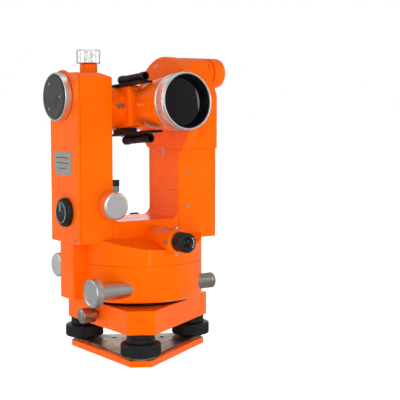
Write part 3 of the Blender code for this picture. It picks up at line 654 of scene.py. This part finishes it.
def drum():
    place, low, high, radius = axis_of("lower_drum", UP)
    inside = radius - 4
    high += 0.15
    shell = [(radius, high), (radius, low + 1.4), (radius - 1.2, low), (21, low), (21, low + 3.5)]
    shell += [(inside, low + 3.5), (inside, high)]
    turned("drum_shell", "alidade", ENAMEL, shell, place, 0.2, "lower_drum", ring=True, sides=WIDE_ROUND)

    low, high = extent("alidade_base")
    rim = extent("left_standard")[0].z + 3
    profile = [(0, rim), (radius, rim), (radius, low.z), (50, low.z), (50, 102.5), (0, 102.5)]
    casting = lathe(profile, place, 0, sides=WIDE_ROUND)
    slope = math.radians(CASTING_SLOPE)
    edge = Vector((0, -CASTING_REACH, rim))
    slice_off(casting, edge * MM, (0, -math.sin(slope), math.cos(slope)))
    finished(casting, ROW, 0.25, 2)
    left, right = extent("left_standard")[1].x, extent("right_standard")[0].x
    bridge = block((left, -CASTING_REACH, rim - 6), (right, CASTING_REACH, high.z), ROW, 0.8)
    curve = 8
    corners = []
    for x, side in ((left, 1), (right, -1)):
        hollow = [(x + side * (curve - curve * math.cos(a)), high.z + curve - curve * math.sin(a))
                  for a in [math.radians(90 * i / 12) for i in range(13)]]
        outline = [*hollow, (x - side * 0.5, high.z - 0.5)]
        upright = Matrix.Translation((0, 26.6 * MM, 0)) @ Matrix.Rotation(math.pi / 2, 4, "X")
        corners.append(slab([outline], 0, 53.2, upright, 0))
    piece("alidade_casting", "alidade", ENAMEL, casting, bridge, *corners, stands_for=["alidade_base"])

    low, high = extent("clamp_housing")
    housing = block(low, high, ROW, 1.4)
    piece("clamp_box", "alidade", ENAMEL, housing, stands_for=["clamp_housing"])
    screws = screws_round(ROW, radius, 62.5, (DRUM_SCREW_ANGLE,), 1.2, 0.4, 30)
    piece("drum_screws", "alidade", STEEL, *screws)


def plummet():
    place, low, high, radius = axis_of("plummet_tube", FRONT)
    tube = [(7, high), (radius - 1.6, high), (radius - 1.6, high - 2), (radius, high - 2.4),
            (radius, high - 9)]
    tube += [(radius - 0.6, high - 9.4), (radius - 0.6, low), (7, low)]
    turned("plummet_body", "alidade", ENAMEL, tube, place, 0.4, "plummet_tube", ring=True)
    screws = screws_round(place, radius - 0.2, high - 5, (0, 90, 180, 270), 2.3, 2, 35)
    piece("plummet_adjusting_screws", "alidade", SCREW_STEEL, *screws)

    place, low, high, radius = axis_of("plummet_eyepiece", FRONT)
    inner = -extent("plummet_tube")[0].y + 0.3
    cup = [(3.4, high - 2), (5.6, high), (radius - 1, high), (radius, high - 1), (radius, inner + 0.4)]
    cup += [(radius - 1, inner), (6.7, inner), (6.7, low), (0, low), (0, high - 3), (3.4, high - 3)]
    turned("plummet_eyecup", "plummet_focus", BLACK_ABS, cup, place, 0.3, "plummet_eyepiece",
           flutes=(40, 0.55, inner + 1.5, high - 2, radius - 0.8))
    marks = [slab([arc(6.5, -50, 50) + arc(6.1, 50, -50)], high - 0.3, high + 0.05, place, 0)]
    for step in range(4):
        tick = spun(-36 + 24 * step, place)
        marks.append(block((6.9, -0.16, high - 0.3), (7.9, 0.16, high + 0.05), tick, 0))
    piece("plummet_focus_marks", "plummet_focus", WHITE_MARK, *marks)
    glass = lathe([(0, high - 1.6), (2, high - 1.8), (3.4, high - 2.4), (3.4, high - 3.1), (0, high - 3.1)],
                  place, 0.1)
    piece("plummet_eye_lens", "plummet_focus", LENS, glass)


def slow_motion():
    place, low, high, radius = axis_of("tangent_barrel", LEFT)
    metal = turned_metal("turned barrel aluminium", "#d2cdc6", place, 0.9)
    barrel = [(3.4, high), (radius - 0.8, high), (radius, high - 0.8), (radius, low), (3.4, low)]
    turned("tangent_sleeve", "alidade", metal, barrel, place, 0.2, "tangent_barrel", ring=True)

    place, low, high, radius = axis_of("horizontal_tangent_knob", LEFT)
    face = turned_metal("turned tangent knob aluminium", SILVER, place)
    back = high - 8.4
    knob = [(0, high - 0.5), (radius - 3.2, high - 0.5), (radius - 2.4, high), (radius - 1, high),
            (radius, high - 1)]
    knob += [(radius, back + 1), (radius - 1, back), (3, back), (3, low), (0, low)]
    turned("tangent_grip", "horizontal_tangent", face, knob, place, 0.25, "horizontal_tangent_knob",
           flutes=(64, 0.5, back + 1.2, high - 1.5, radius - 0.9))

    place, low, high, radius = axis_of("spring_barrel", RIGHT)
    metal = turned_metal("turned spring barrel aluminium", "#a9a698", place, 0.9)
    wall = [(0, high - 0.8), (2.2, high - 0.8), (2.2, high), (radius - 1, high), (radius, high - 1)]
    wall += [(radius, high - 4), (radius - 0.5, high - 4.3), (radius - 0.5, high - 5.1), (radius, high - 5.4)]
    wall += [(radius, 20), (3, 20), (3, low), (0, low)]
    turned("spring_plunger_cap", "alidade", metal, wall, place, 0.25, "spring_barrel")

    place, low, high, radius = axis_of("horizontal_clamp_knob", LEFT)
    face = turned_metal("turned clamp knob aluminium", "#fafaf8", place)
    back = high - 9
    knob = [(0, high), (radius - 1.2, high), (radius, high - 1.2), (radius, back + 0.8), (radius - 0.8, back)]
    knob += [(6, back), (6, back - 6), (3, back - 6.5), (3, low), (0, low)]
    turned("side_clamp_grip", "horizontal_clamp", face, knob, place, 0.3, "horizontal_clamp_knob",
           flutes=(60, 0.5, back + 1, high - 1.4, radius - 0.8))

    place, low, high, radius = axis_of("circle_setting_knob", REAR)
    back = high - 12.8
    knob = [(0, high), (radius - 1.2, high), (radius, high - 1.2), (radius, back), (3, back), (3, low + 5)]
    knob += [(5, low + 5), (5, low), (0, low)]
    turned("circle_setting_grip", "circle_setting", BLACK_ABS, knob, place, 0.3, "circle_setting_knob",
           flutes=(36, 0.6, back + 0.8, high - 1.4, radius - 0.8))


def plate_level():
    place, low, high, radius = axis_of("plate_level_case", RIGHT)
    centre = place.to_translation() / MM
    window, bore = 16, 5.3
    ends = []
    for first, last in ((low, centre.x - window), (centre.x + window, high)):
        ends.append(lathe(band(bore, radius, first, last), place, 0.5, ring=True))
    trough = arc(radius, -205, 25, steps=36) + arc(bore, 25, -205, steps=36)
    upright = Matrix.Translation((0, centre.y * MM, centre.z * MM)) @ toward(RIGHT)
    side = upright.inverted().to_3x3() @ Vector((0, 0, 1))
    lean = math.degrees(math.atan2(side.y, side.x)) - 90
    trough = [turned_point(x, y, lean) for x, y in trough]
    middle = slab([trough], centre.x - window - 0.5, centre.x + window + 0.5, upright, 0.3)
    floor_z = extent("plate_level_case")[0].z
    feet = [block((centre.x + x - 3, 34, floor_z), (centre.x + x + 3, 43, floor_z + 3), ROW, 0.3)
            for x in (-24, 24)]
    piece("level_case", "alidade", ANODISED, *ends, middle, *feet, stands_for=["plate_level_case"])
    place, low, high, radius = axis_of("plate_level_vial", RIGHT)
    vial = [(0, high), (radius - 1, high), (radius, high - 1), (radius, low + 1), (radius - 1, low), (0, low)]
    turned("level_vial", "alidade", SPIRIT, vial, place, 0.3, "plate_level_vial")
    rings = [
        lathe([(radius + 0.1, x + 0.2), (radius + 0.1, x - 0.2), (radius - 0.3, x - 0.2),
               (radius - 0.3, x + 0.2)],
              place, 0, ring=True, sides=48)
        for x in [centre.x + side * (5 + 2 * step) for side in (-1, 1) for step in range(5)]
    ]
    piece("level_graduation", "alidade", OPTICAL_BLACK, *rings)
    bubble_place = toward(RIGHT, (0, centre.y, centre.z + radius - 1.5))
    bubble = [(0, centre.x + 5), (1.2, centre.x + 4.4), (1.8, centre.x + 3), (1.8, centre.x - 3)]
    bubble += [(1.2, centre.x - 4.4), (0, centre.x - 5)]
    piece("level_bubble", "alidade", LEVEL_GLASS, lathe(bubble, bubble_place, 0.3, sides=32))


# --- left standard


COVER_FACE = 81.0
CASE_CORNER = 5
CASE_SLOPE = (0.35, 0, 1)


def left_standard():
    low, high = extent("left_standard")
    clamp = axis_of("vertical_clamp_knob", UP)[0]
    top = high.z - 8.7
    corner = CASE_CORNER
    outline = [(low.z, low.y), (top - corner, low.y), (top, low.y + corner), (top, high.y - corner)]
    outline += [(top - corner, high.y), (low.z, high.y)]
    side = toward(LEFT) @ Matrix.Rotation(cover_turn(), 4, "Z")
    case = slab([outline], -high.x, -low.x, side, 0)
    slice_off(case, Vector((-55, 0, top)) * MM, CASE_SLOPE)
    finished(case, ROW, 0)
    ease(case, 0.9, 3)
    collar = lathe([(0, high.z), (7.6, high.z), (8.3, high.z - 0.7), (8.3, top + 0.4), (9.2, top - 0.5),
                    (9.2, top - 6),
                    (0, top - 6)], clamp, 0.3)
    piece("left_standard_case", "alidade", ENAMEL, case, collar, stands_for=["left_standard"])

    high = extent("left_cover")[1]
    face = COVER_FACE
    cover = slab([outline], -high.x, face, side, 0.7, 3)
    place = axis_of("micrometer_knob", LEFT)[0]
    boss = lathe([(0, face + 0.3), (24.3, face + 0.3), (25, face - 0.4), (25, face - 2), (0, face - 2)],
                 place, 0.3)
    piece("side_cover", "alidade", ENAMEL, cover, boss, stands_for=["left_cover"])
    screws = []
    for y, z, turn in ((-21.5, 267, 20), (21, 267, 75), (-21.7, 117.4, 50), (24.2, 117.8, 110)):
        screws += slotted_screw((-face, y, z), LEFT, 1.5, 0.5, turn)
    piece("side_cover_screws", "alidade", SCREW_STEEL, *screws)

    plate = block((-face - 0.29, -13.5, 177.7), (-face + 0.2, 18.7, 199.4), ROW, 0.12, 1)
    piece("blank_label", "alidade", LABEL, plate)
    rules = [block((-face - 0.31, y0, z0), (-face - 0.2, y1, z1), ROW, 0)
             for y0, y1, z0, z1 in ((-9.5, 14.7, 193.6, 194.4), (-9.5, 14.7, 188.6, 189.2),
                                    (-5.5, 10.7, 183.4, 184.0))]
    piece("label_rules", "alidade", OPTICAL_BLACK, *rules)

    place, low, high, radius = axis_of("vertical_clamp_knob", UP)
    back = high - 12.7
    knob = [(0, high - 0.4), (radius - 2.6, high - 0.4), (radius - 2, high), (radius - 0.8, high),
            (radius, high - 0.8)]
    knob += [(radius, back + 0.6), (radius - 0.6, back), (3.5, back), (3.5, low), (0, low)]
    metal = turned_metal("bright clamp knob aluminium", "#f2f2f0", place)
    turned("vertical_clamp_grip", "vertical_clamp", metal, knob, place, 0.25, "vertical_clamp_knob",
           flutes=(56, 0.55, back + 0.8, high - 1, radius - 0.8))

    place, low, high, radius = axis_of("vertical_tangent_knob", FRONT)
    back = high - 12.7
    knob = [(0, high - 0.2), (radius - 1.6, high), (radius, high - 1.2), (radius, back + 0.8),
            (radius - 0.8, back)]
    knob += [(2.2, back), (2.2, low), (0, low)]
    metal = turned_metal("faced tangent knob aluminium", "#f8f8f6", place, 1.1)
    turned("vertical_tangent_grip", "vertical_tangent", metal, knob, place, 0.5, "vertical_tangent_knob")


def arm_stop():
    """A small stop for the tangent arm on the inner face, black above and bare below."""
    inner, outer, front, back = extent("left_standard")[1].x - 0.3, -35.4, -24.2, -20.6
    low, middle, high = 161.2, 167, 172.8
    for name, finish, bottom, top in (("arm_stop_cap", BLACK_ABS, middle, high),
                                      ("arm_stop_post", STEEL, low, middle)):
        piece(name, "alidade", finish, block((inner, front, bottom), (outer, back, top), ROW, 0.35))


def cover_turn():
    """The turn about the cover's normal that takes an outline's first axis to up."""
    up = toward(LEFT).inverted().to_3x3() @ Vector((0, 0, 1))
    return math.atan2(up.y, up.x)


def micrometer():
    place, low, high, radius = axis_of("micrometer_knob", LEFT)
    metal = turned_metal("knurled micrometer aluminium", "#ececea", place)
    rim = [(4.3, high - 0.9), (radius - 1.8, high - 0.9), (radius - 1.4, high), (radius - 0.4, high),
           (radius, high - 0.5)]
    rim += [(radius, low + 0.7), (radius - 0.7, low), (4.3, low)]
    turned("micrometer_grip", "micrometer", metal, rim, place, 0.2, "micrometer_knob",
           ring=True, flutes=(100, 0.5, low + 1, high - 1, radius - 0.8))
    place, low, high, radius = axis_of("micrometer_cap", LEFT)
    inset = radius - 1.3
    cap = lathe([(0, high), (inset - 0.9, high), (inset, high - 0.7), (inset, low - 0.5), (0, low - 0.5)],
                place, 0.3)
    piece("micrometer_face", "micrometer", DARK_GREY, cap, stands_for=["micrometer_cap"])
    pips = []
    for angle in (60, 180, 304):
        y, z = turned_point(radius * 0.62, 0, angle)
        centre = place.to_translation() / MM
        pips += slotted_screw((-high, centre.y + y, centre.z + z), LEFT, 1.3, 0.12, angle)
    piece("micrometer_face_screws", "micrometer", SCREW_STEEL, *pips)

    place, low, high, radius = axis_of("selector_knob", LEFT)
    face = high - 7
    knob = [(0, high - 0.4), (radius * 0.5, high - 0.3), (radius - 3, high - 1), (radius - 0.9, high - 2.6)]
    knob += [(radius, high - 4), (radius, face), (3, face), (3, low), (0, low)]
    turned("selector_grip", "selector", BLACK_ABS, knob, place, 0.3, "selector_knob",
           flutes=(40, 0.5, face + 0.8, high - 3.4, radius - 1.2))
    centre = place.to_translation() / MM
    line = block((-high + 0.1, centre.y - 0.35, centre.z + 1.5),
                 (-high + 0.6, centre.y + 0.35, centre.z + 8), ROW, 0)
    groove = lathe(band(radius - 4.2, radius - 4, high - 1.6, high - 0.5), place, 0, ring=True)
    piece("selector_index", "selector", WHITE_MARK, line, groove)


# --- right standard and circle housing


def right_standard():
    low, high = extent("right_standard")
    case = block(low, high, ROW, 0)
    ease(case, 2.6, 5, where=lambda spot: spot.x < low.x + 1 and spot.y < low.y + 1)
    ease(case, 0.4, 2, 40)
    piece("right_standard_case", "alidade", ENAMEL, case, stands_for=["right_standard"])
    screws = []
    for z, turn in ((177.8, 35), (144.2, 80)):
        screws += slotted_screw((39.5, low.y, z), FRONT, 1.7, 0.6, turn)
    for y in (17.2, -4.6):
        screws += slotted_screw((low.x - 0.5, y, 197.4), LEFT, 1.5, 0.5, 40)
    piece("right_standard_screws", "alidade", SCREW_STEEL, *screws)
    half_width, half_height, corner = 13.8, 8, 6
    plate = []
    for x, y, start_at in ((1, 1, 0), (-1, 1, 90), (-1, -1, 180), (1, -1, 270)):
        centre = (x * (half_width - corner), y * (half_height - corner))
        plate += arc(corner, start_at, start_at + 90, centre, 8)
    hatch = toward(LEFT, (0, 6.5, 195)) @ Matrix.Rotation(cover_turn() + math.pi / 2, 4, "Z")
    piece("adjustment_hatch", "alidade", ENAMEL, slab([plate], -low.x - 0.5, -low.x + 0.6, hatch, 0.3))
    slot = block((low.x - 0.8, -0.6, 189.6), (low.x - 0.5, 0.5, 201.4), ROW, 0)
    piece("adjustment_slot", "alidade", SCREW_STEEL, slot)
    # Black discs on the inner face stand in for blind holes: painted shade of their insides.
    hole_shade_dots = [lathe(band(0, 0.7, -0.3, 0.05), toward(LEFT, (low.x, y, z)), 0, sides=24)
            for y, z in ((17.8, 158.3), (-11.6, 159.2), (-18.7, 159.7))]
    piece("blind_hole_shade", "alidade", OPTICAL_BLACK, *hole_shade_dots)


def circle_housing():
    trunnion, low, high, disc = axis_of("circle_cover", RIGHT)
    ring = [(disc, high), (disc, low + 1), (disc - 1, low), (18, low), (18, high)]
    lid = lathe(ring, trunnion, 0, ring=True, sides=WIDE_ROUND)
    slice_off(lid, (0, 0, (extent("right_standard")[1].z + 0.1) * MM), (0, 0, -1))
    finished(lid, ROW, 0.4)
    lip = lathe([(24, low + 0.2), (24, low - 0.25), (20.5, low - 0.25), (20.5, low + 0.2)], trunnion, 0.2,
                ring=True)
    piece("circle_lid", "alidade", ENAMEL, lid, lip, stands_for=["circle_cover"])
    screws = []
    for angle in (67, 73, 157, 203, 337):
        y, z = turned_point(disc - 6.5, 0, angle)
        screws += slotted_screw((low, y, TRUNNION[2] / MM + z), LEFT, 1.2, 0.28, angle)
    piece("circle_lid_screws", "alidade", SCREW_STEEL, *screws)

    neck, start_at, end_at, _ = axis_of("mirror_tube", RIGHT)
    outer = 76.3
    neck_z = neck.to_translation().z / MM
    shoulder = 250
    reach, bend, tube = 27, 10, 15
    tangent = 38
    right_side = arc(bend, 0, tangent, (reach - bend, shoulder), 8)
    foot = extent("right_standard")[1].z + 0.1
    outline = [(reach, foot)] + right_side + arc(tube, tangent, 180 - tangent, (0, neck_z), 24)
    outline += [(-y, z) for y, z in reversed(right_side)] + [(-reach, foot)]
    upright = toward(RIGHT) @ Matrix.Rotation(housing_turn(), 4, "Z")
    body = slab([outline], 37, outer, upright, 0.5, 3)
    rim = lathe([(0, 41.5), (disc - 1, 41.5), (disc, 40.5), (disc, 33), (0, 33)], trunnion, 0.3,
                sides=WIDE_ROUND)
    boss = lathe([(0, 79.5), (17.5, 79.5), (19.5, 78), (19.5, 70), (0, 70)], trunnion, 0.5)
    piece("circle_case", "alidade", ENAMEL, body, rim, boss, stands_for=["circle_housing"])

    collar = [(13.5, end_at), (13.5, 80.2), (15, 79.8), (15, start_at), (11, start_at), (11, end_at)]
    turned("mirror_collar", "alidade", ENAMEL, collar, neck, 0.25, "mirror_tube", ring=True)
    place, low, high, radius = axis_of("mirror_cap", RIGHT)
    cap = [(0, high - 0.3), (9, high), (12, high - 0.9), (14.2, high - 3), (radius, high - 6)]
    cap += [(radius, low + 0.6), (radius - 0.5, low), (12, low), (12, high - 6), (0, high - 6)]
    turned("mirror_cover", "mirror", ENAMEL, cap, place, 0.3, "mirror_cap")


def housing_turn():
    """The turn about X that takes an outline's second axis to up."""
    up = toward(RIGHT).inverted().to_3x3() @ Vector((0, 0, 1))
    return math.atan2(up.y, up.x) - math.pi / 2


# --- telescope


LENS_RIM, LENS_SAG = 0.9, 2.6
FACE_LEAN = 0.08


def on_telescope(x, y, z):
    """Where a point of the telescope's own frame lies in the row's."""
    return TELESCOPE @ Vector((x * MM, y * MM, z * MM)) / MM


def telescope():
    block_half = Vector((24.8, 25, 20))
    box = block(-block_half, block_half, TELESCOPE, 3.2, 5)
    left, right = extent("left_standard")[1].x, extent("circle_cover")[0].x
    across = TELESCOPE @ toward(LEFT)
    ahead = TELESCOPE @ toward(FRONT)
    behind = TELESCOPE @ toward(REAR)
    sleeve = lathe([(0, 0.3 - left - 0.6), (18.9, 0.3 - left - 0.6), (19.6, 42.6), (19.6, 37), (18.9, 36.6),
                    (18.9, 35.8),
                    (19.6, 35.4), (19.6, 0.4 - right), (0, 0.4 - right)], across, 0.3)
    bell = [(0, 71), (24.6, 71), (25.5, 70), (25.5, 66), (25.2, 58), (24.2, 46), (22.4, 35), (20.6, 27),
            (20, 22), (0, 22)]
    barrel = lathe(bell, ahead, 0, sides=128)
    rear = lathe([(0, 62), (13.7, 62), (13.7, 30), (17, 29.5), (17, 20), (0, 20)], behind, 0.4)
    piece("telescope_casting", "telescope", ENAMEL, box, sleeve, barrel, rear, stands_for=["telescope_body"])

    screws = []
    for x in (-33, -28.5):
        screws += slotted_screw(on_telescope(x, -19.2, 1), (0, -1, FACE_LEAN), 2.5, 1.4, 12 * x)
    for x in (-18, 18):
        for z in (-14, 14):
            screws += slotted_screw(on_telescope(x, -25, z), (0, -1, FACE_LEAN), 1.2, 0.4, x * z)
    piece("telescope_screws", "telescope", SCREW_STEEL, *screws)

    place, low, high, radius = axis_of("objective_ring", FRONT, TELESCOPE)
    band_low, band_high = low + 3.6, high - 3.8
    ring = [(24.7, high - 0.5), (25.1, high), (radius - 0.7, high), (radius - 0.4, high - 0.5)]
    ring += [(radius - 0.4, high - 1.8), (radius - 1.2, high - 2.3), (radius - 1.2, high - 3.2)]
    ring += [(radius, band_high), (radius, band_low), (radius - 1.2, band_low - 0.7),
             (radius - 1.2, low + 1.8)]
    ring += [(radius - 0.3, low + 1.2), (radius - 0.3, low), (23, low), (24.5, low + 4), (24.5, high - 1.5)]
    metal = turned_metal("turned objective aluminium", "#efefed", place)
    turned("objective_cell", "telescope", metal, ring, place, 0.2, "objective_ring",
           ring=True, flutes=(110, 0.55, band_low - 0.2, band_high + 0.2, radius - 0.3))
    black = lathe([(24.6, high - 0.9), (24.2, high - 0.8), (23.4, high - 3), (23.4, high - 8),
                   (24.6, high - 8)],
                  place, 0.1, ring=True)
    piece("objective_baffle", "telescope", ANODISED, black)
    place, low, high, radius = axis_of("objective_lens", FRONT, TELESCOPE)
    radius += LENS_RIM
    sag = [(radius * step / 10, high - LENS_SAG * (step / 10) ** 2) for step in range(11)]
    piece("objective_glass", "telescope", LENS, lathe([*sag, (radius, low), (0, low)], place, 0, sides=128),
          stands_for=["objective_lens"])

    place, low, high, radius = axis_of("focusing_ring", REAR, TELESCOPE)
    ring = [(14, high), (radius - 1.4, high), (radius, high - 1.2), (radius, low + 1), (radius - 1, low),
            (14, low)]
    turned("focusing_grip", "focus", BLACK_ABS, ring, place, 0.3, "focusing_ring",
           ring=True, flutes=(48, 0.9, low + 1.6, high - 1.8, radius - 1))
    eyepiece_cup("telescope_eyecup", "eyepiece", "telescope_eyepiece", 36)
    eyepiece_cup("microscope_eyecup", "microscope_focus", "microscope_eyepiece", 28)
    place, low, high, radius = axis_of("reading_microscope", REAR, TELESCOPE)
    tube = [(0, high), (radius - 0.4, high), (radius, high - 0.5), (radius, high - 8),
            (radius - 0.5, high - 8.4)]
    tube += [(radius - 0.5, low + 6), (radius, low + 5.5), (radius, low), (0, low)]
    turned("microscope_tube", "telescope", ANODISED, tube, place, 0.2, "reading_microscope")


def eyepiece_cup(name, body, node, count):
    """A knurled dioptre ring with a hollowed eye lens and a ring of marks."""
    place, low, high, radius = axis_of(node, REAR, TELESCOPE)
    slope = high - 4
    mouth = radius * 0.5
    cup = [(0, high - 2.5), (mouth, high - 2.5), (mouth + 1.4, high), (radius * 0.7, high), (radius, slope)]
    cup += [(radius, slope - 1.6), (radius - 0.5, slope - 2), (radius - 0.5, slope - 2.6),
            (radius, slope - 3)]
    cup += [(radius, low + 0.6), (radius - 0.6, low), (0, low)]
    turned(name, body, BLACK_ABS, cup, place, 0.2, node,
           flutes=(count, 0.6, low + 0.9, slope - 3.4, radius - 0.8))
    sag = [(mouth * step / 6, high - 1.9 - 0.5 * (step / 6) ** 2) for step in range(7)]
    lens = lathe([*sag, (mouth, high - 2.6), (0, high - 2.6)], place, 0, sides=64)
    piece(f"{name}_lens", body, LENS, lens)
    ticks = []
    for step in range(9):
        mark = spun(-48 + 12 * step, place)
        ticks.append(block((radius - 0.3, -0.14, slope - 1.4), (radius + 0.06, 0.14, slope - 0.3), mark, 0))
    piece(f"{name}_marks", body, WHITE_MARK, *ticks)


def sights():
    """Two collimator sights: a hollow tube on a web and a foot, with a white cross deep inside."""
    for name, node, side in (("upper_sight", "top_sight", 1), ("lower_sight", "bottom_sight", -1)):
        low, high = extent(node, TELESCOPE)
        radius, x = 4.3, -19.3
        z = high.z - radius if side > 0 else low.z + radius
        front, back = (-48, -4) if side > 0 else (-52, -7)
        shoe_z = (20.4, 22.4) if side > 0 else (-26.8, -24.5)
        shoe = block((low.x, low.y, shoe_z[0]), (high.x, high.y, shoe_z[1]), TELESCOPE, 0.5)
        web_z = sorted((shoe_z[side > 0] - side * 0.3, z - side * 2.5))
        web = block((x - 1.7, front + 8, web_z[0]), (x + 1.7, back - 1, web_z[1]), TELESCOPE, 0.3)
        parts = [shoe, web]
        if side < 0:
            parts.append(block((-24, -20, -25), (-14, 8, -20.3), TELESCOPE, 0.5))
        place = TELESCOPE @ toward(FRONT, (x, 0, z))
        wall = [(3.1, -front), (radius - 0.5, -front), (radius, -front - 0.5), (radius, -front - 6)]
        wall += [(radius - 0.5, -front - 6.4), (radius - 0.5, -back + 6), (radius, -back + 5.6),
                 (radius, -back)]
        wall += [(0, -back), (0, -front - 16), (3.1, -front - 16)]
        parts.append(lathe(wall, place, 0.15, sides=64))
        piece(name, "telescope", ANODISED, *parts, stands_for=[node])
        inner = lathe([(3.05, -front - 0.6), (3.05, -front - 15.9), (2.9, -front - 15.9),
                       (2.9, -front - 0.6)],
                      place, 0, ring=True, sides=48)
        stop = lathe(band(0, 3, -front - 15.9, -front - 15.4), place, 0, sides=48)
        piece(f"{name}_lining", "telescope", OPTICAL_BLACK, inner, stop)
        cross = [block((-2.4, -0.2, -front - 15.3), (2.4, 0.2, -front - 15.1), place, 0),
                 block((-0.2, -2.4, -front - 15.3), (0.2, 2.4, -front - 15.1), place, 0)]
        piece(f"{name}_cross", "telescope", WHITE_MARK, *cross)
        fixing = []
        for y in (low.y + 3.5, high.y - 3.5):
            head = on_telescope(-15, y, shoe_z[side > 0])
            fixing += slotted_screw(head, (0, FACE_LEAN * side, side), 1.2, 0.6, 25)
        piece(f"{name}_screws", "telescope", SCREW_STEEL, *fixing)


# --- pieces inside


def inner_pieces():
    """The solids inside stay as they are, each in its own material."""
    for node in ("left_bearing", "right_bearing", "circle_gear", "micrometer_scale"):
        dress(node, BRASS)
    for node in ("vertical_spindle", "clamp_ring", "trunnion_clamp_arm", "micrometer_shaft", "left_axle",
                 "right_axle"):
        dress(node, STEEL)
    dress("horizontal_circle", graduated_glass("graduated horizontal circle",
                                               axis_of("horizontal_circle", UP)[0]))
    vertical = axis_of("vertical_circle", RIGHT, TELESCOPE)[0]
    dress("vertical_circle", graduated_glass("graduated vertical circle", vertical))


def dress(node, finish):
    mesh = frame["nodes"][node].data
    mesh.materials.clear()
    mesh.materials.append(finish[0])


# --- floor, light and camera


def studio():
    material, tree, shader, where = start(
        "pale paper", "#f4f4f4", Specular_IOR_Level=0.1, Emission_Color=(1, 1, 1, 1), Emission_Strength=0.75
    )
    tint(tree, shader, noise(tree, where, 60, 3), "#f6f6f6", "#f1f1f1")
    roughness(tree, shader, noise(tree, where, 20, 3), 0.85, 0.95)
    mesh = bpy.data.meshes.new("floor")
    form = bmesh.new()
    bmesh.ops.create_grid(form, x_segments=1, y_segments=1, size=6)
    bmesh.ops.translate(form, verts=form.verts, vec=(0, 0, -0.0002))
    form.to_mesh(mesh)
    form.free()
    mesh.materials.append(material)
    floor = bpy.data.objects.new("floor", mesh)
    # Gloss shows the studio's dark walls and its softboxes, not the white floor.
    floor.visible_glossy = False
    bpy.context.scene.collection.objects.link(floor)

    world = bpy.data.worlds.new("studio")
    bpy.context.scene.world = world
    world.use_nodes = True
    backdrop = world.node_tree.nodes["Background"]
    backdrop.inputs["Color"].default_value = (1, 1, 1, 1)
    seen = add_node(world.node_tree, "LightPath").outputs["Is Camera Ray"]
    level = {"To Min": WORLD_LIGHT, "To Max": 1.0}
    strength = add_node(world.node_tree, "MapRange", level, {"Value": seen})
    world.node_tree.links.new(strength.outputs["Result"], backdrop.inputs["Strength"])
    for name, spot, size, watts in SOFTBOXES:
        light = bpy.data.lights.new(name, "AREA")
        light.shape = "RECTANGLE"
        light.size, light.size_y = size
        light.energy = watts
        lamp = bpy.data.objects.new(name, light)
        lamp.visible_camera = False
        lamp.location = spot
        lamp.rotation_euler = (Vector((0, 0, 0.15)) - Vector(spot)).to_track_quat("-Z", "Y").to_euler()
        bpy.context.scene.collection.objects.link(lamp)

    data = bpy.data.cameras.new("camera")
    data.sensor_width = 36
    data.lens = CAMERA_LENS
    camera = bpy.data.objects.new("camera", data)
    camera.location = CAMERA_PLACE
    camera.rotation_euler = (math.radians(90 - CAMERA_DIP), 0, -math.radians(CAMERA_TURN))
    bpy.context.scene.collection.objects.link(camera)
    bpy.context.scene.camera = camera
    bpy.context.scene.view_settings.view_transform = "Standard"


WORLD_LIGHT = 0.4
SOFTBOXES = (
    ("key softbox", (-1.3, -1.8, 1.3), (0.9, 1.2), 6.5),
    ("front strip", (-0.42, -2.0, 0.45), (0.2, 1.4), 8),
    ("edge strip", (-1.75, -1.1, 0.45), (0.12, 1.2), 5),
    ("right strip", (1.65, -1.2, 0.5), (0.3, 1.4), 6),
    ("left strip", (-1.5, 1.3, 0.5), (0.3, 1.4), 6),
    ("back softbox", (1.1, 1.7, 0.5), (1.6, 0.7), 3),
    ("top softbox", (0.2, 0.1, 1.9), (1.2, 1.2), 5),
)
CAMERA_PLACE = (-0.54769, -0.88528, 0.24385)
CAMERA_TURN, CAMERA_DIP, CAMERA_LENS = 35.1, 5.16, 95.5

levelling_base()
foot_screws()
tribrach_fittings()
drum()
plummet()
slow_motion()
plate_level()
left_standard()
arm_stop()
micrometer()
right_standard()
circle_housing()
telescope()
sights()
inner_pieces()
studio()
